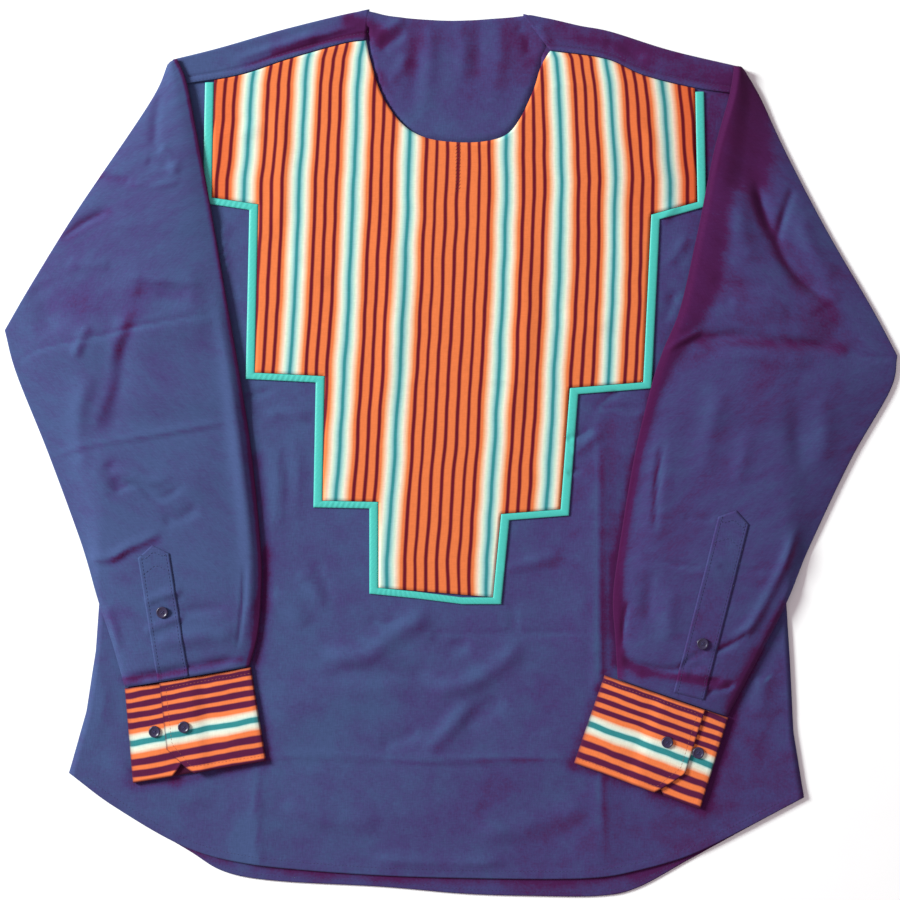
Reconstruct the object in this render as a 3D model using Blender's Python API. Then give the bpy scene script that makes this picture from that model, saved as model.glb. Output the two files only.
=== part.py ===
"""A long-sleeve pullover shirt, laid flat on its back with both sleeves brought down over the front.

Every piece that is cut and sewn on is its own solid: back, yoke, front, striped bib, piping, two sleeves,
two cuffs, two sleeve plackets and six buttons. Cloth is a wall made from a middle surface. The surfaces are
worked out in millimetres, with X to the right, Y towards the neck and Z up from the table, and the meshes
are in metres. Right and left are the wearer's, so the right sleeve is on the -X side.
"""

import math
from collections import namedtuple

import bmesh
import bpy
from mathutils import Vector
from mathutils.bvhtree import BVHTree

MM = 0.001

# Cloth walls and the gap that is left where two pieces meet
CLOTH = 1.2
BIB = 1.1
CUFF = 1.6
PLACKET = 1.1
PIPING = 1.6
GAP = 0.3
MESH_STEP = 24.0

# Middle surface of the back, which lies on the table, and of the front, which lies on the back
BACK_MIDDLE = CLOTH / 2
FRONT_MIDDLE = CLOTH + GAP + CLOTH / 2

# Air under the front: a low dome over the whole body
AIR_RISE = 2.0
AIR_CENTRE = (-4.0, 20.0)
AIR_REACH = (295.0, 345.0)

# Outline of the body, read down each edge: armhole, underarm, side seam, hem corner
EDGE_ROW = namedtuple("EDGE_ROW", "name right_x right_y left_x left_y")
BODY_EDGE = (
    EDGE_ROW("shoulder", -239, 337, 247, 331),
    EDGE_ROW("front yoke seam", -234, 316, 242, 309),
    EDGE_ROW("back yoke seam", -221, 258, 232, 256),
    EDGE_ROW("front of armhole", -219, 230, 227, 225),
    EDGE_ROW("lower armhole", -224, 195, 230, 190),
    EDGE_ROW("scoop", -240, 150, 243, 150),
    EDGE_ROW("near underarm", -262, 118, 258, 118),
    EDGE_ROW("underarm", -283, 101, 276, 97),
    EDGE_ROW("chest", -292, 10, 282, 10),
    EDGE_ROW("waist", -300, -100, 286, -100),
    EDGE_ROW("hip", -305, -170, 291, -180),
    EDGE_ROW("seat", -313, -222, 294, -240),
    EDGE_ROW("hem corner", -328, -275, 303, -296),
)
YOKE_SEAM_ROW = 2
UNDERARM_ROW = 7

# Shoulder folds and the yoke's seam to the front, from the armhole to the neck
RIGHT_SHOULDER = ((-239, 337), (-199, 347), (-147, 362), (-95, 375), (-70, 380))
LEFT_SHOULDER = ((62, 376), (85, 372), (111, 366), (137, 361), (188, 345), (247, 331))
RIGHT_YOKE_SEAM = ((-230, 316), (-182, 324), (-139, 338), (-93, 351), (-73, 354))
LEFT_YOKE_SEAM = ((85, 345), (133, 338), (165, 324), (209, 313), (243, 308))
SEAM_TUCK = 0.33
BACK_NECK = ((-70, 380), (-45, 375), (0, 372), (40, 374), (62, 376))
FRONT_NECK = (
    (-72, 362), (-69, 336), (-59, 306), (-42, 282), (-22, 270), (5, 266),
    (30, 267), (48, 273), (60, 288), (71, 312), (77, 331), (83, 353),
)  # fmt: skip
FRONT_HEM = ((-328, -275), (-289, -304), (-227, -339), (-166, -354), (-60, -363), (60, -366),
             (122, -365), (159, -359), (204, -346), (246, -326), (303, -296))  # fmt: skip
BACK_HEM = ((-328, -275), (-289, -304), (-227, -341), (-195, -360), (-150, -368), (-60, -373), (10, -379),
            (70, -381), (127, -381), (160, -374), (204, -350), (246, -327), (303, -296))  # fmt: skip

# Outer outline of the stepped bib with its piping: four steps, widest first, each with its lower edge
STEP = namedtuple("STEP", "outer_right_x outer_right_y inner_right_x inner_right_y "
                          "inner_left_x inner_left_y outer_left_x outer_left_y")  # fmt: skip
BIB_TOP = ((-211, 317.5), (217, 309.5))
BIB_STEPS = (
    STEP(-213, 214, -173, 208, 179, 200, 219, 211),
    STEP(-176, 63, -116, 60, 109, 50, 172, 55),
    STEP(-118, -47, -70, -48, 50, -58, 101, -54),
    STEP(-70, -121, -30, -125, 10, -130, 43, -130),
)
PIPING_SIDE_WIDTH = 7.6
PIPING_STEP_WIDTH = 5.8
PIPING_SHOULDER = 1.3

# Stretches of a sleeve from the shoulder down: where the section's inner and outer edge lie
SLEEVE_ROW = namedtuple("SLEEVE_ROW", "name inner_x inner_y outer_x outer_y")
RIGHT_SLEEVE = (
    SLEEVE_ROW("head", -235, 337, -243, 333),
    SLEEVE_ROW("cap", -227, 318, -252, 311),
    SLEEVE_ROW("upper arm", -219, 279, -273, 278),
    SLEEVE_ROW("biceps", -205, 204, -322, 206),
    SLEEVE_ROW("above elbow", -194, 140, -361, 143),
    SLEEVE_ROW("elbow", -187, 101, -383, 105),
    SLEEVE_ROW("below elbow", -181, 66, -373, 68),
    SLEEVE_ROW("forearm", -171, -2, -345, -2),
    SLEEVE_ROW("placket", -163, -84, -315, -84),
    SLEEVE_ROW("wrist", -163, -125, -302, -127),
    SLEEVE_ROW("gathers", -166, -157, -290, -163),
    SLEEVE_ROW("cuff seam", -173, -183.2, -279.1, -201),
)
LEFT_SLEEVE = (
    SLEEVE_ROW("head", 243, 331, 251, 329),
    SLEEVE_ROW("cap", 240, 305, 266, 303),
    SLEEVE_ROW("upper arm", 230, 256, 287, 258),
    SLEEVE_ROW("biceps", 213, 191, 322, 191),
    SLEEVE_ROW("above elbow", 197, 125, 361, 124),
    SLEEVE_ROW("elbow", 182, 88, 383, 83),
    SLEEVE_ROW("below elbow", 172, 58, 377, 54),
    SLEEVE_ROW("forearm", 157, -6, 343, -6),
    SLEEVE_ROW("placket", 144, -84, 306, -84),
    SLEEVE_ROW("wrist", 139, -125, 287, -129),
    SLEEVE_ROW("gathers", 141, -158, 268, -166),
    SLEEVE_ROW("cuff seam", 143.2, -193.6, 236.5, -225.6),
)
ELBOW_ROW = 5
SLEEVE_FOLD = 0.95
SLEEVE_HEAD_ROUND = 1.0
SLEEVE_PUFF = 3.2
RAMP_START = 3.0
SLEEVE_RAMP = 18.0
SLEEVE_CLEAR = 0.7
SEAM_CLEAR = 1.2
UNDERARM_CLEAR = 4.0
BIB_SEAM_GAP = 1.0
SLEEVE_TOP_CELLS = 9
STRAND_CELLS = 4
ARC_CELLS = 3

# Largest folds, as soft ridges along a line: a negative rise is a trough
FOLD = namedtuple("FOLD", "x0 y0 x1 y1 half_width rise")
FRONT_FOLDS = (
    FOLD(128, -20, 118, -160, 20, 1.5),
    FOLD(125, -300, 125, -340, 22, 1.2),
    FOLD(-166, -300, -166, -345, 22, 1.2),
    FOLD(-140, -222, -60, -190, 24, 1.6),
    FOLD(-20, -262, 85, -266, 24, 1.4),
    FOLD(-120, -300, 40, -318, 26, 1.1),
)
RIGHT_SLEEVE_FOLDS = (
    FOLD(-365, 80, -195, 118, 17, 1.8),
    FOLD(-287, 105, -292, 30, 16, -1.8),
    FOLD(-335, 185, -300, 205, 15, -1.3),
    FOLD(-270, 145, -225, 140, 17, 1.2),
    FOLD(-300, -15, -225, -30, 18, 1.5),
)
LEFT_SLEEVE_FOLDS = (
    FOLD(205, 98, 340, 86, 17, -1.8),
    FOLD(255, 235, 300, 150, 18, -1.8),
    FOLD(300, 66, 304, -40, 18, -1.2),
    FOLD(178, 10, 173, -60, 15, 1.4),
    FOLD(165, -90, 225, -100, 14, 1.2),
)

# Cuffs: corners of the strip as it lies, outer side first, and what the overlap shows of it
CUFF_PLAN = namedtuple("CUFF_PLAN", "outer_top inner_top inner_foot outer_foot flap_reach button_reach "
                                    "spare_button_reach button_drop")  # fmt: skip
RIGHT_CUFF = CUFF_PLAN((-279, -202), (-172, -184), (-159, -264), (-272, -283), 30, 46.5, 21.5, 0.50)
LEFT_CUFF = CUFF_PLAN((237, -227), (132, -191), (106, -266), (213, -305), 21, 43.5, 15.4, 0.45)
CUFF_UNDER_REACH = 52.0
CUFF_CORNER_REACH = 18.0
CUFF_CORNER_SHARE = 0.42
CUFF_FOLD = 1.1

# Sleeve plackets: the middle line from the point down to the cuff, and the button on it
PLACKET_PLAN = namedtuple("PLACKET_PLAN", "top_x top_y foot_x foot_y button_drop")
RIGHT_PLACKET = PLACKET_PLAN(-254, -88, -237.5, -193, 0.46)
LEFT_PLACKET = PLACKET_PLAN(241, -58, 203, -208, 0.70)
PLACKET_WIDTH = 27.0
PLACKET_POINT = 9.0
PLACKET_LIFT = 0.5
PLACKET_STEP = 12.0

# Buttons
BUTTON_RADIUS = 5.0
BUTTON_HEIGHT = 2.2
BUTTON_RIM = 1.1
BUTTON_DISH = 0.6
BUTTON_SIDES = 12
BUTTON_LIFT = 0.35

# Colours, as the scene shows them, in linear light
NAVY = (0.062, 0.075, 0.190, 1.0)
STRIPES = (0.90, 0.26, 0.07, 1.0)
TURQUOISE = (0.07, 0.62, 0.55, 1.0)
BUTTON_GREY = (0.030, 0.030, 0.045, 1.0)


def ease(t):
    """Rises smoothly from 0 to 1 as t goes from 0 to 1."""
    t = min(1.0, max(0.0, t))
    return t * t * (3 - 2 * t)


def mix(a, b, t):
    """The point or number a share t of the way from a to b."""
    if isinstance(a, (int, float)):
        return a + (b - a) * t
    return tuple(p + (q - p) * t for p, q in zip(a, b))


def smooth_path(points, per_span=8):
    """A Catmull-Rom curve through the points, as a dense polyline."""
    points = [tuple(map(float, p)) for p in points]
    ends = [mix(points[1], points[0], 2), *points, mix(points[-2], points[-1], 2)]
    path = []
    for a, b, c, d in zip(ends, ends[1:], ends[2:], ends[3:]):
        for k in range(per_span):
            t = k / per_span
            path.append(tuple(
                0.5 * (2 * q + (r - p) * t + (2 * p - 5 * q + 4 * r - s) * t * t
                       + (3 * q - p - 3 * r + s) * t ** 3)
                for p, q, r, s in zip(a, b, c, d)
            ))  # fmt: skip
    path.append(points[-1])
    return path


def spaced(path, count):
    """count + 1 points at equal steps along a polyline."""
    runs = [math.dist(a, b) for a, b in zip(path, path[1:])]
    total, out, k, passed = sum(runs), [], 0, 0.0
    for i in range(count + 1):
        want = total * i / count
        while k < len(runs) - 1 and passed + runs[k] < want:
            passed += runs[k]
            k += 1
        out.append(mix(path[k], path[k + 1], min(1.0, (want - passed) / runs[k])))
    return out


def cross_x(path, y):
    """The x where a path that runs down the body crosses the height y."""
    if y >= path[0][1]:
        return path[0][0]
    for a, b in zip(path, path[1:]):
        if b[1] <= y <= a[1]:
            return mix(a[0], b[0], (a[1] - y) / max(a[1] - b[1], 1e-9))
    return path[-1][0]


def cross_y(path, x):
    """The y where a path that runs along +X crosses x."""
    for a, b in zip(path, path[1:]):
        if a[0] <= x <= b[0]:
            return mix(a[1], b[1], (x - a[0]) / max(b[0] - a[0], 1e-9))
    return path[0][1] if x < path[0][0] else path[-1][1]


RIGHT_EDGE = [(row.right_x, row.right_y) for row in BODY_EDGE]
LEFT_EDGE = [(row.left_x, row.left_y) for row in BODY_EDGE]


def fold_rise(x, y, folds):
    """How far the folds lift the cloth at a point."""
    rise = 0.0
    for fold in folds:
        ax, ay = fold.x1 - fold.x0, fold.y1 - fold.y0
        t = ((x - fold.x0) * ax + (y - fold.y0) * ay) / (ax * ax + ay * ay)
        t = min(1.0, max(0.0, t))
        off = math.dist((x, y), (fold.x0 + ax * t, fold.y0 + ay * t)) / fold.half_width
        rise += fold.rise * math.exp(-off * off)
    return rise


def air_rise(x, y):
    """Height of the low dome of air under the front."""
    across = 1 - ((x - AIR_CENTRE[0]) / AIR_REACH[0]) ** 2
    along = 1 - ((y - AIR_CENTRE[1]) / AIR_REACH[1]) ** 2
    return AIR_RISE * max(0.0, across) * max(0.0, along)


def front_top(x, y):
    """The front's upper face."""
    return FRONT_MIDDLE + CLOTH / 2 + air_rise(x, y) + fold_rise(x, y, FRONT_FOLDS)


def surface_mesh(name, points, faces):
    """A mesh object in metres from points in millimetres."""
    mesh = bpy.data.meshes.new(name)
    mesh.from_pydata([tuple(c * MM for c in p) for p in points], [], faces)
    mesh.validate()
    obj = bpy.data.objects.new(name, mesh)
    bpy.context.scene.collection.objects.link(obj)
    return obj


def finish(obj, colour, roughness=0.85):
    """Gives the object its own material and smooth shading with sharp rims."""
    material = bpy.data.materials.new(obj.name)
    material.use_nodes = True
    shader = material.node_tree.nodes["Principled BSDF"]
    shader.inputs["Base Color"].default_value = colour
    shader.inputs["Roughness"].default_value = roughness
    shader.inputs["Metallic"].default_value = 0.0
    obj.data.materials.append(material)
    obj.data.shade_smooth()
    obj.data.set_sharp_from_angle(angle=math.radians(50))
    return obj


def cloth_wall(name, points, faces, thickness, colour):
    """A wall of cloth on both sides of a middle surface."""
    obj = surface_mesh(name, points, faces)
    wall = obj.modifiers.new("Cloth", "SOLIDIFY")
    wall.thickness = thickness * MM
    wall.offset = 0.0
    wall.use_even_offset = False
    wall.use_rim = True
    return finish(obj, colour)


class Sheet:
    """Points and faces of a middle surface, gathered patch by patch, with shared points made one."""

    def __init__(self):
        self.points, self.faces, self.known = [], [], {}

    def point(self, p):
        key = tuple(round(c, 3) for c in p)
        if key not in self.known:
            self.known[key] = len(self.points)
            self.points.append(tuple(map(float, p)))
        return self.known[key]

    def patch(self, rows):
        """Adds quads between rows of points. The faces point up where rows run down and points run along +X."""
        ids = [[self.point(p) for p in row] for row in rows]
        for upper, lower in zip(ids, ids[1:]):
            for k in range(len(upper) - 1):
                corners = []
                for i in (lower[k], lower[k + 1], upper[k + 1], upper[k]):
                    if i not in corners:
                        corners.append(i)
                if len(corners) > 2:
                    self.faces.append(corners)

    def tree(self):
        """For finding the height of the surface under a point."""
        return BVHTree.FromPolygons(self.points, self.faces)


def height_on(tree, x, y):
    """Height of the highest surface at x, y."""
    hit = tree.ray_cast(Vector((x, y, 100.0)), Vector((0, 0, -1)))[0]
    if hit is None:
        hit = tree.find_nearest(Vector((x, y, 10.0)))[0]
    return hit.z


def panel_rows(top, right_edge, left_edge, hem):
    """Rows of plan points that fill four edges: a Coons patch. top and hem run along +X, the edges down."""
    columns, rows = len(top) - 1, len(right_edge) - 1
    grid = []
    for j in range(rows + 1):
        v = j / rows
        row = []
        for i in range(columns + 1):
            u = i / columns
            ruled = mix(top[i], hem[i], v)
            across = mix(right_edge[j], left_edge[j], u)
            corner = mix(mix(top[0], top[-1], u), mix(hem[0], hem[-1], u), v)
            row.append(tuple(a + b - c for a, b, c in zip(ruled, across, corner)))
        grid.append(row)
    return grid


def body_sides(step):
    """The body's right and left edges below the yoke seam, with as many points each, at about the given step."""
    right, left = [RIGHT_EDGE[YOKE_SEAM_ROW]], [LEFT_EDGE[YOKE_SEAM_ROW]]
    for k in range(YOKE_SEAM_ROW, len(BODY_EDGE) - 1):
        count = max(1, round(math.dist(RIGHT_EDGE[k], RIGHT_EDGE[k + 1]) / step))
        right += spaced(RIGHT_EDGE[k:k + 2], count)[1:]
        left += spaced(LEFT_EDGE[k:k + 2], count)[1:]
    return right, left


def match_hem(hem, top):
    """Points along a hem, spread in x as the points of the top edge are."""
    start, end = top[0][0], top[-1][0]
    out = []
    for p in top:
        x = mix(hem[0][0], hem[-1][0], (p[0] - start) / (end - start))
        out.append((x, cross_y(hem, x)))
    return out


def tucked(seam, fold, count):
    """The front's edge on a shoulder: a third of the way from the yoke's front seam to the shoulder fold."""
    pairs = zip(spaced(smooth_path(seam), count), spaced(smooth_path(fold), count))
    return [mix(a, b, SEAM_TUCK) for a, b in pairs]


def make_front():
    """The front, with its scooped neck, armholes, side seams and curved hem, in three blocks that share edges."""
    right_top = tucked(RIGHT_YOKE_SEAM, RIGHT_SHOULDER, 7)
    left_top = tucked(LEFT_YOKE_SEAM, LEFT_SHOULDER, 7)
    neck = smooth_path([right_top[-1], *FRONT_NECK[1:-1], left_top[0]])
    right_foot, left_foot = 3 * 8, 7 * 8
    right_neck = spaced(neck[:right_foot + 1], 4)
    neck_foot = spaced(neck[right_foot:left_foot + 1], 5)
    left_neck = spaced(neck[left_foot:][::-1], 4)
    right_hole = spaced([right_top[0], *RIGHT_EDGE[1:YOKE_SEAM_ROW + 1]], 4)
    left_hole = spaced([left_top[-1], *LEFT_EDGE[1:YOKE_SEAM_ROW + 1]], 4)
    right_line = spaced([right_hole[-1], right_neck[-1]], 7)
    left_line = spaced([left_neck[-1], left_hole[-1]], 7)
    chest = right_line[:-1] + neck_foot + left_line[1:]
    sides = body_sides(MESH_STEP)
    blocks = (
        (right_top, right_hole, right_neck, right_line),
        (left_top, left_neck, left_hole, left_line),
        (chest, sides[0], sides[1], match_hem(smooth_path(FRONT_HEM), chest)),
    )
    sheet = Sheet()
    for top, right, left, foot in blocks:
        sheet.patch([[(x, y, front_top(x, y) - CLOTH / 2) for x, y in row]
                     for row in panel_rows(top, right, left, foot)])
    cloth_wall("front", sheet.points, sheet.faces, CLOTH, NAVY)
    return sheet.tree()


def make_back():
    """The back, flat on the table from the yoke seam to the longer curved hem."""
    right, left = body_sides(2 * MESH_STEP)
    top = spaced([right[0], left[0]], 18)
    hem = match_hem(smooth_path(BACK_HEM), top)
    sheet = Sheet()
    sheet.patch([[(x, y, BACK_MIDDLE) for x, y in row] for row in panel_rows(top, right, left, hem)])
    cloth_wall("back", sheet.points, sheet.faces, CLOTH, NAVY)


def outward(path, k):
    """Unit normal of a plan path at point k, to the left of its run."""
    a, b = path[max(0, k - 1)], path[min(len(path) - 1, k + 1)]
    run = math.dist(a, b)
    return (-(b[1] - a[1]) / run, (b[0] - a[0]) / run)


def make_yoke():
    """The yoke: flat across the shoulders at the back, folded over each shoulder to its front seam."""
    right_fold, left_fold = spaced(smooth_path(RIGHT_SHOULDER), 7), spaced(smooth_path(LEFT_SHOULDER), 7)
    right_seam, left_seam = spaced(smooth_path(RIGHT_YOKE_SEAM), 7), spaced(smooth_path(LEFT_YOKE_SEAM), 7)
    neck = spaced(smooth_path(BACK_NECK), 8)
    rim = right_fold[:-1] + neck + left_fold[1:]
    seam_right, seam_left = RIGHT_EDGE[YOKE_SEAM_ROW], LEFT_EDGE[YOKE_SEAM_ROW]
    seam = []
    for p in rim:
        share = (p[0] - rim[0][0]) / (rim[-1][0] - rim[0][0])
        x, y = mix(seam_right, seam_left, share)
        seam.append((x, y + GAP))
    strip_middle = FRONT_MIDDLE + CLOTH + GAP
    radius = (strip_middle - BACK_MIDDLE) / 2
    inset = [tuple(c - n * radius for c, n in zip(p, outward(rim, k))) for k, p in enumerate(rim)]
    back_cells = 5
    rows = []
    for j in range(back_cells + 1):
        rows.append([(*mix(b, e, j / back_cells), BACK_MIDDLE) for b, e in zip(seam, inset)])
    sheet = Sheet()
    sheet.patch(rows[::-1])
    for start, front_seam in ((0, right_seam), (len(rim) - len(left_seam), left_seam)):
        columns = range(start, start + len(front_seam))
        rows = [[(*inset[k], BACK_MIDDLE) for k in columns]]
        for j in range(1, 6):
            angle = math.pi * j / 5
            swing, lift = math.sin(angle) * radius, (1 - math.cos(angle)) * radius
            rows.append([
                (*(c + n * swing for c, n in zip(inset[k], outward(rim, k))), BACK_MIDDLE + lift)
                for k in columns
            ])
        for j in (1, 2):
            row = []
            for k, foot in zip(columns, front_seam):
                x, y = mix(inset[k], foot, j / 2)
                rise = mix(strip_middle, front_top(x, y) + GAP + CLOTH / 2, j / 2)
                row.append((x, y, rise))
            rows.append(row)
        sheet.patch(rows[::-1])
    cloth_wall("yoke", sheet.points, sheet.faces, CLOTH, NAVY)


def meet(p, a, q, b):
    """Where the plan line through p along a meets the line through q along b."""
    cross = a[0] * b[1] - a[1] * b[0]
    t = ((q[0] - p[0]) * b[1] - (q[1] - p[1]) * b[0]) / cross
    return (p[0] + a[0] * t, p[1] + a[1] * t)


def bib_outline():
    """The piping's outer edge: down the right steps, across the foot and up the left steps."""
    right, left = [BIB_TOP[0]], [BIB_TOP[1]]
    for step in BIB_STEPS:
        right += [(step.outer_right_x, step.outer_right_y), (step.inner_right_x, step.inner_right_y)]
        left += [(step.outer_left_x, step.outer_left_y), (step.inner_left_x, step.inner_left_y)]
    return right + left[::-1]


def inner_outline(outer, extra=0.0):
    """The piping's inner edge: each run of the outer outline moved in by its width, and cut at the corners."""
    runs = []
    for k, (a, b) in enumerate(zip(outer, outer[1:])):
        length = math.dist(a, b)
        along = ((b[0] - a[0]) / length, (b[1] - a[1]) / length)
        upright = abs(along[1]) > abs(along[0])
        width = (PIPING_SIDE_WIDTH if upright else PIPING_STEP_WIDTH) + extra
        side = (-along[1] * width, along[0] * width)
        runs.append(((a[0] + side[0], a[1] + side[1]), along))
    inner = [runs[0][0]]
    for (p, a), (q, b) in zip(runs, runs[1:]):
        straight = abs(a[0] * b[1] - a[1] * b[0]) < 0.15
        inner.append(q if straight else meet(p, a, q, b))
    last, along = runs[-1]
    length = math.dist(outer[-2], outer[-1])
    inner.append((last[0] + along[0] * length, last[1] + along[1] * length))
    return inner


def make_piping(front_tree):
    """The turquoise piping that frames the bib: a folded strip with a rounded top, mitred at the corners."""
    outer = bib_outline()
    inner = inner_outline(outer)
    profile = ((0.0, 0.0), (0.0, 0.55), (PIPING_SHOULDER, 1.0), (-PIPING_SHOULDER, 1.0), (None, 0.55), (None, 0.0))
    loops = []
    for k in range(len(outer) - 1):
        count = max(1, round(math.dist(outer[k], outer[k + 1]) / MESH_STEP))
        for j in range(count + (k == len(outer) - 2)):
            a, b = mix(outer[k], outer[k + 1], j / count), mix(inner[k], inner[k + 1], j / count)
            width = math.dist(a, b)
            loop = []
            for shift, rise in profile:
                share = 1.0 if shift is None else shift / width % 1.0
                x, y = mix(a, b, share)
                loop.append((x, y, height_on(front_tree, x, y) + CLOTH / 2 + GAP + rise * PIPING))
            loops.append(loop)
    points = [p for loop in loops for p in loop]
    size = len(profile)
    faces = [tuple(range(size)), tuple(reversed(range(len(points) - size, len(points))))]
    for k in range(len(loops) - 1):
        for j in range(size):
            a, b = k * size + j, k * size + (j + 1) % size
            faces.append((b, a, a + size, b + size))
    finish(surface_mesh("bib_piping", points, faces), TURQUOISE)


def bib_top_edge(x):
    """The height at which the bib's upper edge runs on the shoulders, just below the yoke seam."""
    seam = RIGHT_YOKE_SEAM if x < 0 else LEFT_YOKE_SEAM
    return cross_y(smooth_path(seam), x) - BIB_SEAM_GAP


def make_bib(front_tree):
    """The striped bib: four stepped tiers inside the piping, with the neck cut out of the first."""
    inner = inner_outline(bib_outline(), GAP)
    tiers = len(BIB_STEPS)
    right = [inner[0], *inner[1:2 * tiers + 1]]
    left = [inner[-1], *inner[::-1][1:2 * tiers + 1]]
    # Column k starts at the upper corner of tier k. Its corner at the foot of each tier is on the outline
    # where it bounds the tier, and a fixed share of the way across where it is inside.
    uppers = [(right[2 * k], left[2 * k]) for k in range(tiers)]
    lowers = [(right[2 * k + 1], left[2 * k + 1]) for k in range(tiers)]

    def level(k, n):
        """Corners of columns n and later at the foot of tier k."""
        row = []
        a, b = (uppers[k + 1] if k + 1 < tiers else lowers[k])
        for m in range(n, tiers):
            if m == k:
                row.append(lowers[k])
            elif m > k:
                narrow = (uppers[m][1][0] - uppers[m][0][0]) / (uppers[k + 1][1][0] - uppers[k + 1][0][0])
                row.append((mix(a, b, (1 - narrow) / 2), mix(a, b, (1 + narrow) / 2)))
        return [p for p, _ in row] + [q for _, q in reversed(row)]

    top_right = [-205.0, -168.0, -120.0]
    top_left = [211.0, 166.0, 122.0]
    neck_ends = (RIGHT_YOKE_SEAM[-1], LEFT_YOKE_SEAM[0])
    upper = [(x, bib_top_edge(x)) for x in top_right] + [(p[0], p[1] - BIB_SEAM_GAP) for p in neck_ends]
    upper += [(x, bib_top_edge(x)) for x in reversed(top_left)]
    upper[0], upper[-1] = inner[0], inner[-1]
    cells = [2, 3, 2, 12, 2, 3, 2]
    sheet = Sheet()
    for k in range(tiers):
        lower = level(k, k)
        if k:
            upper = level(k - 1, k)
        across = cells[k:len(cells) - k]
        head, foot = [upper[0]], [lower[0]]
        for c, a, b, p, q in zip(across, upper, upper[1:], lower, lower[1:]):
            run = [mix(a, b, j / c) for j in range(1, c + 1)]
            if k == 0 and c == max(cells):
                run = spaced([a, *smooth_path(FRONT_NECK[1:-1]), b], c)[1:]
            elif k == 0:
                run = [(x, bib_top_edge(x)) if 0 < j < c else (x, y) for j, (x, y) in enumerate(run, 1)]
            head += run
            foot += [mix(p, q, j / c) for j in range(1, c + 1)]
        count = max(2, round(math.dist(head[0], foot[0]) / MESH_STEP))
        rows = [[mix(a, b, j / count) for a, b in zip(head, foot)] for j in range(count + 1)]
        sheet.patch([[(x, y, height_on(front_tree, x, y) + CLOTH / 2 + GAP + BIB / 2) for x, y in row]
                     for row in rows])
    cloth_wall("striped_bib", sheet.points, sheet.faces, BIB, STRIPES)


def outline_distance(x, y, outline):
    """Distance from a point to a closed outline, or 0 inside it."""
    best, inside = 1e9, False
    for a, b in zip(outline, outline[1:] + outline[:1]):
        along = (b[0] - a[0], b[1] - a[1])
        t = ((x - a[0]) * along[0] + (y - a[1]) * along[1]) / (along[0] ** 2 + along[1] ** 2)
        best = min(best, math.dist((x, y), mix(a, b, min(1.0, max(0.0, t)))))
        if (a[1] > y) != (b[1] > y) and x < mix(a[0], b[0], (y - a[1]) / (b[1] - a[1])):
            inside = not inside
    return 0.0 if inside else best


def rest_height(x, y):
    """What a sleeve rests on inside the body: the front, and the bib or the yoke where it covers them."""
    on_bib = 1 - ease((outline_distance(x, y, bib_outline()) - 14) / 26)
    seam_y = bib_top_edge(x)
    on_yoke = ease((y - seam_y + 26) / 18)
    stack = max((PIPING + GAP) * on_bib, (CLOTH + GAP) * on_yoke)
    return front_top(x, y) + stack + SLEEVE_CLEAR


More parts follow.
